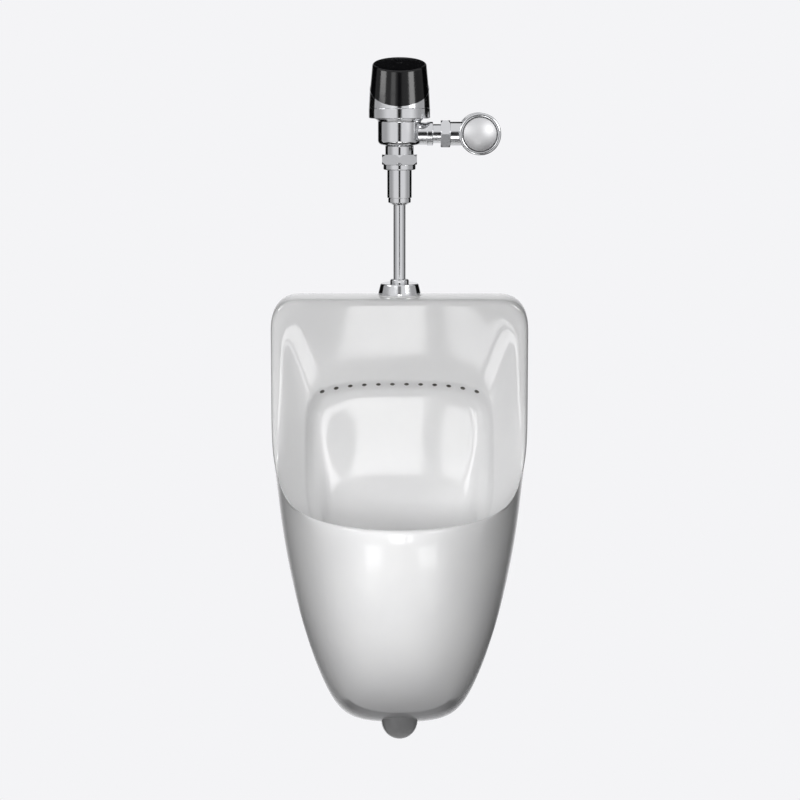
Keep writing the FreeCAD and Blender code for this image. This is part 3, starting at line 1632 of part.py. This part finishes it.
os.makedirs("parts", exist_ok=True)
for name, make in PIECES.items():
    make().exportStep(os.path.join("parts", name + ".step"))
print(len(PIECES), "pieces written")
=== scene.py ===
# %% [markdown]
# # A wall-hung urinal and its flush valve
# The object is one china casting with a chromed flush valve standing on top. The engineering model
# already has every piece at its real size, so nothing is modelled a second time. This lesson dresses it: a
# camera, a studio, and one finish for each material that the real object is made of.

# %% Load the engineering model
import json
import math

import bpy
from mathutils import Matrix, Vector


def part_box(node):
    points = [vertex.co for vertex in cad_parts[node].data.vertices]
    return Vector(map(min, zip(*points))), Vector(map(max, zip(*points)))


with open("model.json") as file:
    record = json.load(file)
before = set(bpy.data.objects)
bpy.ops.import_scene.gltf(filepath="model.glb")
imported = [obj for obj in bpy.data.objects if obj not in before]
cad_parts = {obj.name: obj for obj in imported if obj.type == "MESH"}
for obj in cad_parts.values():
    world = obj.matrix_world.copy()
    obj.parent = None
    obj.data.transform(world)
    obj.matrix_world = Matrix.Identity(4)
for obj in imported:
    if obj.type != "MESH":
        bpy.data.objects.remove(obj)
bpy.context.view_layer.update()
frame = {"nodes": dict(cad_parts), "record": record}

nodes = frame["nodes"]

# %% [markdown]
# ## Camera
# The picture is taken from straight in front, from about the height of the valve, with a long lens that
# keeps the china's sides nearly parallel. A camera that is placed before anything else lets every later
# choice be judged in the same frame.

# %% Camera
camera_place = (0.0008, -3.225, 0.932)
camera_dip = math.radians(9.4)
camera_data = bpy.data.cameras.new("camera")
camera_data.lens = 90.0
camera_data.sensor_width = 36.0
camera = bpy.data.objects.new("camera", camera_data)
camera.location = camera_place
camera.rotation_euler = (math.pi / 2 - camera_dip, 0.0, 0.0)
bpy.context.scene.collection.objects.link(camera)
bpy.context.scene.camera = camera
bpy.context.scene.view_settings.view_transform = "Standard"
print("camera at", camera_place)

# %% [markdown]
# ## Shader maths
# Node trees get long, so one small class wraps a socket. Adding or multiplying two wrapped sockets adds
# the Math node, and one method makes every other node: its settings first, then its inputs. A tree could be
# wired by hand instead, but an expression shows at a glance what is worked out.

# %% A wrapped socket
class Value:
    def __init__(self, tree, socket=None):
        self.tree = tree
        self.socket = socket

    def node(self, kind, settings=None, inputs=None, output=0):
        """A new node with these settings and inputs; one of its outputs comes back, wrapped."""
        made = self.tree.nodes.new(kind)
        for name, setting in (settings or {}).items():
            setattr(made, name, setting)
        for name, value in (inputs or {}).items():
            if isinstance(value, Value):
                self.tree.links.new(value.socket, made.inputs[name])
            else:
                made.inputs[name].default_value = value
        return Value(self.tree, made.outputs[output] if made.outputs else None)

    def maths(self, operation, first, second=0.0):
        return self.node("ShaderNodeMath", {"operation": operation}, {0: first, 1: second})

    def __add__(self, other):
        return self.maths("ADD", self, other)

    def __radd__(self, other):
        return self.maths("ADD", other, self)

    def __sub__(self, other):
        return self.maths("SUBTRACT", self, other)

    def __rsub__(self, other):
        return self.maths("SUBTRACT", other, self)

    def __mul__(self, other):
        return self.maths("MULTIPLY", self, other)

    def __rmul__(self, other):
        return self.maths("MULTIPLY", other, self)

    def root(self):
        return self.maths("SQRT", self)

    def absolute(self):
        return self.maths("ABSOLUTE", self)

    def spread(self, first, second):
        """The first number where this value is 0 and the second where it is 1."""
        return first + self * (second - first)

    def between(self, low, high):
        """0 below low, 1 above high, and a soft step from one to the other."""
        return self.node("ShaderNodeMapRange", {"interpolation_type": "SMOOTHSTEP"},
                         {"Value": self, "From Min": low, "From Max": high})

    def blend(self, first, second):
        """The first colour where this value is 0 and the second where it is 1."""
        return self.node("ShaderNodeMix", {"data_type": "RGBA"}, {"Factor": self, 6: first, 7: second}, 2)

    def cross(self, first, second):
        """The first shader where this value is 0 and the second where it is 1."""
        return self.node("ShaderNodeMixShader", None, {0: self, 1: first, 2: second})


print("socket helper ready")

# %% [markdown]
# ## Background
# A picture like this is shot against pale paper. If the paper lit the object as well, white china would
# lose its shape, so the world has two strengths: the camera, and anything shiny, sees the pale background
# itself, while matt surfaces get only a weak fill.

# %% World
background = (0.905, 0.905, 0.922, 1.0)
white = (1.0, 1.0, 1.0, 1.0)
fill_strength = 0.035
direct_rays = ("Is Camera Ray", "Is Glossy Ray", "Is Transmission Ray")


def seen_directly(tree):
    """1 for rays from the camera, a mirror or a clear piece, and 0 for light that falls on a matt one."""
    rays = Value(tree).node("ShaderNodeLightPath")
    outputs = rays.socket.node.outputs
    camera_ray, glossy_ray, clear_ray = [Value(tree, outputs[name]) for name in direct_rays]
    return rays.maths("MINIMUM", camera_ray + glossy_ray + clear_ray, 1.0)


world = bpy.data.worlds.new("studio")
bpy.context.scene.world = world
world.use_nodes = True
world.node_tree.nodes.clear()
sky = Value(world.node_tree)
fill = sky.node("ShaderNodeBackground", None, {"Color": white, "Strength": fill_strength})
shown = sky.node("ShaderNodeBackground", None, {"Color": background, "Strength": 1.0})
sky.node("ShaderNodeOutputWorld", None, {"Surface": seen_directly(world.node_tree).cross(fill, shown)})
print("world fill", fill_strength)

# %% [markdown]
# ## Floor
# The floor is a plain pale sheet below the object, which hangs above it. Most of it glows in the colour of
# the background, and the rest keeps its own shading, so a shadow stays on it. The sheet fades out all round,
# and it ends where the wall would stand, so from the front there is only the background.

# %% Floor
floor_height = -0.36
floor_size = 8.0
floor_middle = -1.0
floor_fade = (2.2, 3.6)
floor_glow = 0.86
floor_colour = (0.4, 0.4, 0.405, 1.0)
wall_line = 0.17
wall_fade = 0.2


def deselect():
    for chosen in list(bpy.context.selected_objects):
        chosen.select_set(False)


def stage_finish(name):
    """An empty material for the stage, and a value to start its nodes from."""
    finish = bpy.data.materials.new(name)
    finish.use_nodes = True
    finish.node_tree.nodes.clear()
    return finish, Value(finish.node_tree)


def axes_of(start):
    """The three own coordinates of a stage piece."""
    place = start.node("ShaderNodeTexCoord", output="Object")
    return [start.node("ShaderNodeSeparateXYZ", None, {"Vector": place}, axis) for axis in "XYZ"]


deselect()
bpy.ops.mesh.primitive_plane_add(size=floor_size, location=(0, floor_middle, floor_height))
floor = bpy.context.active_object
floor.name = "floor"
floor_finish, sheet = stage_finish("floor_sheet")
along, deep, _ = axes_of(sheet)
far_out = (along * along + deep * deep).root().between(*floor_fade)
past_wall = (deep + floor_middle).between(wall_line - wall_fade, wall_line)
matt = sheet.node("ShaderNodeBsdfDiffuse", None, {"Color": floor_colour})
glow = sheet.node("ShaderNodeEmission", None, {"Color": background, "Strength": 1.0})
paper = (seen_directly(sheet.tree) * floor_glow).cross(matt, glow)
nothing = sheet.node("ShaderNodeBsdfTransparent")
faded = sheet.maths("MAXIMUM", far_out, past_wall).cross(paper, nothing)
sheet.node("ShaderNodeOutputMaterial", None, {"Surface": faded})
floor.data.materials.append(floor_finish)
print("floor at", floor_height)

# %% [markdown]
# ## Lamps
# Two softboxes stand in front at about the height of the shield, one well to the left and one just right of
# the middle, so the china is bright in front and falls off to its sides. A weak one hangs overhead, and two
# behind light the back. One bare lamp would do for the level, but its hard shadows would cut up the round
# bowl.

# %% Softboxes
aim = Vector((0.0, -0.15, 0.42))
key_size, key_distance = (0.6, 0.7), 1.45
back_size, back_distance = (0.9, 1.3), 2.3
back_turn, back_rise, back_watts = 152, 20, 20.0
overhead_place, overhead_target = (0.0, 0.5, 1.8), (0.0, -0.06, 0.6)


def softbox(name, place, size, watts, target=aim):
    """A rectangular lamp turned towards a point, the middle of the object unless another is given."""
    lamp = bpy.data.lights.new(name, "AREA")
    lamp.shape = "RECTANGLE"
    lamp.size, lamp.size_y = size
    lamp.energy = watts
    holder = bpy.data.objects.new(name, lamp)
    holder.location = place
    holder.rotation_euler = (Vector(target) - Vector(place)).to_track_quat("-Z", "Y").to_euler()
    holder.visible_camera = False
    bpy.context.scene.collection.objects.link(holder)
    return holder


def round_point(middle, azimuth, elevation, distance):
    """A place that far from a point; azimuth 0 is straight in front, positive to the right."""
    a, e = math.radians(azimuth), math.radians(elevation)
    way = Vector((math.sin(a) * math.cos(e), -math.cos(a) * math.cos(e), math.sin(e)))
    return Vector(middle) + distance * way


lamps = [
    softbox("key_left", round_point(aim, -45, 9, key_distance), key_size, 12.0),
    softbox("key_right", round_point(aim, 12, 10, key_distance), key_size, 15.0),
    softbox("overhead", overhead_place, (0.9, 0.6), 9.0, overhead_target),
    softbox("back_left", round_point(aim, -back_turn, back_rise, back_distance), back_size, back_watts),
    softbox("back_right", round_point(aim, back_turn, back_rise, back_distance), back_size, back_watts),
]
for lamp in lamps:
    lamp.visible_glossy = False
print("lamps", [lamp.name for lamp in lamps])

# %% [markdown]
# ## Windows
# Glaze and chrome show their shapes by what they mirror, which a photographer sets up apart from the main
# light. Here that is a set of small windows: lamps that only reflections can see. Two give the panes in the
# shield and the bowl, two the marks on the apron, and three the streaks on the sensor window.

# %% Windows
valve = Vector((0.0, -0.11, 0.92))
apron = Vector((0.0, -0.35, 0.22))
pane_y, pane_z, pane_height = -0.75, 0.34, 0.36
mark_distance, mark_rise = 1.1, -16
streak_distance = 1.0


def window_lamp(name, place, size, brightness, target):
    """A lamp that only reflections see; its brightness is that of its face, 1 being white."""
    lamp = softbox(name, place, size, brightness * math.pi * size[0] * size[1], target)
    lamp.visible_diffuse = False
    return lamp


def pane(name, x, width, brightness):
    """A window straight in front of the china."""
    return window_lamp(name, (x, pane_y, pane_z), (width, pane_height), brightness, (x, 0.0, pane_z))


def mark(name, azimuth, size, brightness):
    """A window low in front of the apron."""
    return window_lamp(name, round_point(apron, azimuth, mark_rise, mark_distance), size, brightness, apron)


def streak(name, azimuth, elevation, size, brightness):
    """A window beside the valve."""
    return window_lamp(name, round_point(valve, azimuth, elevation, streak_distance), size, brightness, valve)


windows = [
    pane("china_left", -0.022, 0.145, 5.0),
    pane("china_right", 0.11, 0.05, 4.0),
    mark("apron_left", -37, (0.45, 0.12), 2.4),
    mark("apron_right", 40, (0.5, 0.1), 2.4),
    streak("lens_left", -70, 13, (0.45, 0.26), 8.0),
    streak("lens_dim", -25, 13, (0.3, 0.3), 2.5),
    streak("lens_right", 50, 12, (0.4, 0.34), 9.0),
]
print("windows", [lamp.name for lamp in windows])

# %% [markdown]
# ## Dark cloth
# A mirror that sees only a pale room has no outline, so a studio hangs black cloth wherever china or chrome
# needs a dark line. A plain black sheet would do, but its hard edge would show in the glaze. Each cloth here
# fades out at its rim, and a gauze, net or muslin blocks only a share of the light, as a thin weave does.

# %% Cloth
cloth_black = (0.01, 0.01, 0.01, 1)
cloth_edge = 0.5


def cloth(name, rim_start, cover):
    """Black cloth or net: how far out its rim starts to fade, and the share of light it blocks."""
    finish, start = stage_finish(name)
    across, tall, _ = axes_of(start)
    rims = [side.absolute().between(rim_start, cloth_edge) for side in (across, tall)]
    blocked = (1 - start.maths("MAXIMUM", *rims)) * cover
    black = start.node("ShaderNodeBsdfDiffuse", None, {"Color": cloth_black})
    clear = start.node("ShaderNodeBsdfTransparent")
    start.node("ShaderNodeOutputMaterial", None, {"Surface": blocked.cross(clear, black)})
    return finish


slit = cloth("slit_cloth", 0.12, 1.0)
drape = cloth("drape_cloth", 0.26, 1.0)
curtain = cloth("curtain_cloth", 0.36, 1.0)
gauze = cloth("gauze", 0.05, 0.5)
flag = cloth("flag_cloth", 0.45, 1.0)
net = cloth("net_cloth", 0.4, 0.54)
muslin = cloth("muslin", 0.26, 0.5)
print("cloths ready")

# %% [markdown]
# ## Hanging the cloth
# Curtains behind the object, with a gap between them, draw the dark edges of china and chrome. A narrow
# strip by the camera draws the dark line down each tube, gauze at the sides and drapes on the floor calm the
# rest, and a muslin under the bowl takes up to half of the floor's bounce off its underside. Two nets and a
# flag are the other kind: no reflection sees them, and they only hold back softbox light from the shield and
# from the trap. The lamps could be dimmed instead, but that would darken the apron as well.

# %% Dark cards
upright, lying = 90.0, 0.0
facing_front, facing_side = 0.0, 90.0
low = floor_height + 0.01


def dark_card(name, finish, place, size, lean=upright, turn=facing_front, shades=False, soaks=False):
    """A cloth that reflections see, or that only shades; one that soaks also takes the floor's bounce."""
    deselect()
    angles = (math.radians(lean), 0, math.radians(turn))
    bpy.ops.mesh.primitive_plane_add(size=1.0, location=place, rotation=angles)
    card = bpy.context.active_object
    card.name = name
    card.scale = (*size, 1.0)
    card.data.materials.append(finish)
    card.visible_camera = False
    card.visible_diffuse = soaks
    card.visible_glossy = not shades
    card.visible_shadow = shades
    return card


cards = [
    dark_card("card_front", slit, (0, -3.4, 0.85), (1.5, 4.0)),
    dark_card("card_back_left", curtain, (-1.5, 0.75, 0.6), (2.6, 4.6)),
    dark_card("card_back_right", curtain, (1.5, 0.75, 0.6), (2.6, 4.6)),
    dark_card("card_back_top", curtain, (0, 0.75, 1.7), (1.6, 1.3)),
    dark_card("card_low_left", drape, (-1.2, 0.1, low), (2.3, 3.0), lying),
    dark_card("card_low_right", drape, (1.15, 0.1, low), (2.3, 3.0), lying),
    dark_card("card_low_front", drape, (0, -2.0, low + 0.01), (1.6, 2.6), lying),
    dark_card("card_under_bowl", muslin, (0, -0.4, low + 0.02), (1.6, 1.6), lying, soaks=True),
    dark_card("card_side_left", gauze, (-1.7, -0.15, 0.7), (3.4, 3.0), turn=facing_side),
    dark_card("card_side_right", gauze, (1.7, -0.15, 0.7), (3.4, 3.0), turn=facing_side),
    dark_card("flag_under_bowl", flag, (0, -0.236, -0.09), (0.24, 0.12), shades=True),
    dark_card("net_left", net, (-0.68, -0.8, 0.725), (0.8, 0.5), shades=True),
    dark_card("net_right", net, (0.25, -0.8, 0.745), (0.8, 0.54), shades=True),
]
print("cards", [card.name for card in cards])

# %% [markdown]
# ## Finishes
# Every finish is one Principled shader. What is the same all over is set on its sockets, and what changes
# over the surface, such as a faint mottling of the glaze or the haze of handling on chrome, is worked out
# from the piece's own coordinates, so it stays put when a piece moves.

# %% A finish to start from
class Finish:
    def __init__(self, name, **constants):
        self.material = bpy.data.materials.new(name)
        self.material.use_nodes = True
        self.shader = self.material.node_tree.nodes["Principled BSDF"]
        self.start = Value(self.material.node_tree)
        for socket, value in constants.items():
            self.shader.inputs[socket.replace("_", " ")].default_value = value
        self.place = self.start.node("ShaderNodeTexCoord", output="Object")

    def noise(self, scale, detail=2.0, stretch=(1.0, 1.0, 1.0)):
        """Soft random patches, about 1/scale metres across, stretched along the axes."""
        spot = self.start.node("ShaderNodeMapping", None, {"Vector": self.place, "Scale": stretch})
        return self.start.node("ShaderNodeTexNoise", None, {"Vector": spot, "Scale": scale, "Detail": detail})

    def axis(self, name):
        """One coordinate of the surface point, in metres."""
        return self.start.node("ShaderNodeSeparateXYZ", None, {"Vector": self.place}, name)

    def feed(self, **values):
        """Links values that change over the surface to the shader's sockets."""
        for socket, value in values.items():
            self.start.tree.links.new(value.socket, self.shader.inputs[socket.replace("_", " ")])

    def bump(self, height, depth):
        """Turns a 0 to 1 height into a bump of that many metres."""
        inputs = {"Height": height, "Distance": depth, "Strength": 1.0}
        self.feed(Normal=self.start.node("ShaderNodeBump", None, inputs))


print("finish helper ready")

# %% [markdown]
# ### Glazed china
# Vitreous china is a white body under clear glaze, fired on it. A clear coat over a matt base could show
# that, but one smooth white surface is simpler and has the same sharp reflections. It has a very slow ripple
# from the firing that bends long reflections, and a faint mottling where the glaze lies thicker. The edge
# that meets the wall is left bare, so there the body shows matt.

# %% Glazed china
wall_edge, edge_fade = -0.0015, 0.001
clay_roughness, glaze_roughness = 0.75, 0.08
bare_clay = (0.74, 0.72, 0.68, 1)
thin_glaze, thick_glaze = (0.80, 0.80, 0.806, 1), (0.83, 0.83, 0.832, 1)
china = Finish("glazed_china", IOR=1.5)
glazed = 1 - china.axis("Y").between(wall_edge - edge_fade, wall_edge)
glaze_tone = china.noise(9.0, 3.0).between(0.3, 0.7).blend(thin_glaze, thick_glaze)
body_tone = glazed.blend(bare_clay, glaze_tone)
china.bump(china.noise(14.0, 1.0), 0.0003)
print("china ready")

# %% [markdown]
# ### Flush holes
# Water enters the bowl through a row of holes under the ledge. Little light gets into them, so the dark
# inside of each hole is painted shade in the colour, and the same patch is given the matt roughness of
# bare clay. The holes are part of the casting, so the painted shade is found from the surface point alone:
# how far it lies from the nearest hole's axis, and how far from the face of the ledge. Both are lines in
# the plane of depth and height, and the ledge is arched, so heights are counted from the arch.

# %% Flush holes
hole_pitch = 0.0223
row_end, row_fade = 6.0 * hole_pitch, 6.05 * hole_pitch
hole_rim = (0.0031, 0.0046)
ledge_front, ledge_back = (-0.0045, -0.0035), (0.005, 0.006)
arch_radius = 0.79
hole_axis = (0.79, 0.613, 0.343)
ledge_face = (-0.555, 0.832, 0.3134)
# painted shade: the dark colour put inside each flush hole, where little light gets in
hole_painted_shade = (0.11, 0.105, 0.095, 1)

across = china.axis("X")
deep_in = 0 - china.axis("Y")
level = china.axis("Z") + across * across * (0.5 / arch_radius)


def off_line(line):
    """How far a surface point lies from a line, given by its two slopes and its offset."""
    return deep_in * line[0] + level * line[1] - line[2]


in_pitch = china.start.node("ShaderNodeMath", {"operation": "WRAP"}, {0: across, 1: hole_pitch, 2: 0.0})
beside = in_pitch - hole_pitch / 2
above = off_line(hole_axis)
behind = off_line(ledge_face)
near_hole = 1 - (beside * beside + above * above).root().between(*hole_rim)
near_ledge = behind.between(*ledge_front) * (1 - behind.between(*ledge_back))
in_row = 1 - across.absolute().between(row_end, row_fade)
# mask of the painted shade in the holes; it also makes the holes matt like bare clay
shaded_bare_hole = near_hole * near_ledge * in_row
smooth = glazed * (1 - shaded_bare_hole)
china.feed(Base_Color=shaded_bare_hole.blend(body_tone, hole_painted_shade),
           Roughness=smooth.spread(clay_roughness, glaze_roughness))
print("flush holes every", hole_pitch, "m")

# %% [markdown]
# ### Polished and satin chrome
# Polished chrome is a mirror, very slightly blurred by wear, and a cloudy haze of handling and hard water
# blurs it a little more in patches. The cap of the stop has a satin version, spun, so fine rings run round
# its axis. The rings are noise along the distance from that axis, which needs no texture map.

# %% Chrome
chrome_tone, satin_tone = (0.67, 0.675, 0.685, 1), (0.62, 0.62, 0.625, 1)
ring_scale = 2600.0
chrome = Finish("polished_chrome", Base_Color=chrome_tone, Metallic=1.0)
haze = chrome.noise(34.0, 4.0).between(0.45, 0.8)
chrome.feed(Roughness=haze.spread(0.11, 0.17))
chrome.bump(chrome.noise(160.0, 2.0), 0.00002)

cap_low, cap_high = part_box("stop_cap")
cap_centre = (cap_low + cap_high) / 2
satin = Finish("satin_chrome", Base_Color=satin_tone, Metallic=1.0)
off_x = satin.axis("X") - cap_centre.x
off_z = satin.axis("Z") - cap_centre.z
ring_place = satin.start.node("ShaderNodeCombineXYZ", None, {"X": (off_x * off_x + off_z * off_z).root()})
ring_inputs = {"Vector": ring_place, "Scale": ring_scale, "Detail": 1.0}
spun = satin.start.node("ShaderNodeTexNoise", None, ring_inputs)
satin.feed(Roughness=spun.spread(0.5, 0.62))
satin.bump(spun, 0.00001)
print("chrome ready, cap centre", [round(v, 3) for v in cap_centre])

# %% [markdown]
# ### Sensor window
# The window is moulded from plastic that looks black but lets the sensor's invisible light through. Clear
# dark plastic would show the same black, because it is dark behind it, so a solid black is enough. It is
# glossy, with the slight waviness of a moulding and fine dust that dulls it in places.

# %% Sensor window
sensor_black = (0.004, 0.004, 0.005, 1)
sensor_window = Finish("sensor_window", Base_Color=sensor_black, IOR=1.5, Specular_IOR_Level=0.3)
dust = sensor_window.noise(70.0, 4.0).between(0.5, 0.85)
sensor_window.feed(Roughness=dust.spread(0.15, 0.23))
sensor_window.bump(sensor_window.noise(45.0, 1.0), 0.00008)
print("sensor window ready")

# %% [markdown]
# ### Rubber
# Gaskets, rings and the diaphragm are black rubber with a dusty bloom. A flat black would hide their shapes,
# so one patchy mask lightens and dulls them together, as the bloom does.

# %% Rubber
clean_rubber, dusty_rubber = (0.018, 0.018, 0.018, 1), (0.045, 0.044, 0.042, 1)
rubber = Finish("black_rubber", IOR=1.45)
bloom = rubber.noise(120.0, 4.0).between(0.4, 0.75)
rubber.feed(Base_Color=bloom.blend(clean_rubber, dusty_rubber), Roughness=bloom.spread(0.62, 0.82))
rubber.bump(rubber.noise(900.0, 2.0), 0.00003)
print("rubber ready")

# %% [markdown]
# ### Brass and steel
# These are the working parts behind the chrome. Cast and turned brass is uneven in colour, with a tarnish
# that is both darker and duller, so again one mask drives the two. The hangers, bolts and springs are plain
# steel. Its grain is noise drawn out along the height, which is simpler than scratches laid one by one.

# %% Brass and steel
bright_brass, dull_brass = (0.76, 0.57, 0.29, 1), (0.50, 0.35, 0.17, 1)
brass = Finish("raw_brass", Metallic=1.0)
tarnish = brass.noise(48.0, 5.0).between(0.42, 0.72)
brass.feed(Base_Color=tarnish.blend(bright_brass, dull_brass), Roughness=tarnish.spread(0.24, 0.48))
brass.bump(brass.noise(500.0, 3.0), 0.00004)

bright_steel, stained_steel = (0.60, 0.60, 0.61, 1), (0.47, 0.46, 0.45, 1)
drawn_out = (1.0, 1.0, 0.06)
steel = Finish("plain_steel", Metallic=1.0)
grain = steel.noise(420.0, 3.0, drawn_out)
stain = steel.noise(30.0, 4.0).between(0.5, 0.8)
steel.feed(Base_Color=stain.blend(bright_steel, stained_steel), Roughness=grain.spread(0.26, 0.48))
steel.bump(grain, 0.00003)
print("brass and steel ready")

# %% [markdown]
# ### Plastics
# Under the window and in the valve sit moulded parts: black ones with a fine texture from the mould, white
# ones that let a little light in, and two dark red sensor lenses. The texture could be modelled, but it is
# shallower than a tenth of a millimetre, so a bump is enough.

# %% Plastics
black_low, black_high = (0.020, 0.020, 0.022, 1), (0.045, 0.045, 0.048, 1)
black_plastic = Finish("black_plastic", IOR=1.5)
mould_grain = black_plastic.noise(1400.0, 2.0)
black_plastic.feed(Base_Color=mould_grain.blend(black_low, black_high),
                   Roughness=mould_grain.spread(0.42, 0.60))
black_plastic.bump(mould_grain, 0.00004)

white_low, white_high = (0.74, 0.74, 0.71, 1), (0.82, 0.82, 0.80, 1)
white_plastic = Finish("white_plastic", IOR=1.5, Subsurface_Weight=0.1)
flow = white_plastic.noise(60.0, 3.0)
white_plastic.feed(Base_Color=flow.blend(white_low, white_high), Roughness=flow.spread(0.34, 0.48))
white_plastic.bump(white_plastic.noise(700.0, 2.0), 0.00002)

deep_red, pale_red = (0.11, 0.02, 0.03, 1), (0.20, 0.04, 0.05, 1)
eye_plastic = Finish("eye_plastic", IOR=1.5, Coat_Weight=0.6, Coat_Roughness=0.03)
depth_tint = eye_plastic.noise(300.0, 2.0)
eye_plastic.feed(Base_Color=depth_tint.blend(deep_red, pale_red), Roughness=depth_tint.spread(0.06, 0.12))
print("plastics ready")

# %% [markdown]
# ### Cells and board
# Four cells stand in the head, each in a dark wrap with a plain copper band and a bare metal end. The board
# beside them is green with a regular copper pattern. Bands are steps along the height of the cells, and the
# pattern is a brick texture, whose joints look like tracks.

# %% Cells and board
band_share, band_fade = 0.72, 0.0004
end_cap = (0.0016, 0.0014)
wrap_black, wrap_band = (0.020, 0.022, 0.028, 1), (0.50, 0.30, 0.14, 1)
cell_metal = (0.62, 0.62, 0.62, 1)
along_cell = (1.0, 1.0, 0.2)
cell_low, cell_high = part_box("batteries")
band_height = cell_low.z + band_share * (cell_high.z - cell_low.z)
wrap = Finish("cell_wrap", Coat_Weight=0.5, Coat_Roughness=0.1)
band = wrap.axis("Z").between(band_height, band_height + band_fade)
metal_end = wrap.axis("Z").between(cell_high.z - end_cap[0], cell_high.z - end_cap[1])
crease = wrap.noise(260.0, 3.0, along_cell)
wrap_tone = metal_end.blend(band.blend(wrap_black, wrap_band), cell_metal)
wrap.feed(Base_Color=wrap_tone, Metallic=metal_end, Roughness=crease.spread(0.24, 0.40))
wrap.bump(crease, 0.00004)

board = Finish("green_board", Coat_Weight=0.3, Coat_Roughness=0.15)
tracks = board.start.node("ShaderNodeTexBrick", {"offset": 0.5}, {
    "Vector": board.place, "Scale": 260.0, "Mortar Size": 0.06, "Brick Width": 0.9, "Row Height": 0.45,
    "Color1": (0.016, 0.12, 0.05, 1), "Color2": (0.020, 0.15, 0.065, 1), "Mortar": (0.05, 0.24, 0.10, 1)})
board.feed(Base_Color=tracks, Roughness=board.noise(200.0, 3.0).spread(0.30, 0.50))
print("cells and board ready")

# %% [markdown]
# ## Dressing the model
# The record names a material slot for every node, so a finish is chosen once for each slot. Nodes could be
# dressed one by one, but a table is shorter, and two pieces of one material can't end up different. The
# nodes keep their exact shapes.

# %% Dress every node
finish_of_slot = {
    "china": china,
    "chrome": chrome,
    "satin_chrome": satin,
    "brass": brass,
    "black_lens": sensor_window,
    "rubber": rubber,
    "steel": steel,
    "black_plastic": black_plastic,
    "white_plastic": white_plastic,
    "clear_plastic": eye_plastic,
    "battery_wrap": wrap,
    "board": board,
}
for part in frame["record"]["subparts"]:
    node = nodes[part["node"]]
    node.data.materials.clear()
    node.data.materials.append(finish_of_slot[part["material_slot"]].material)
print("dressed", len(nodes), "nodes in", len(finish_of_slot), "finishes")
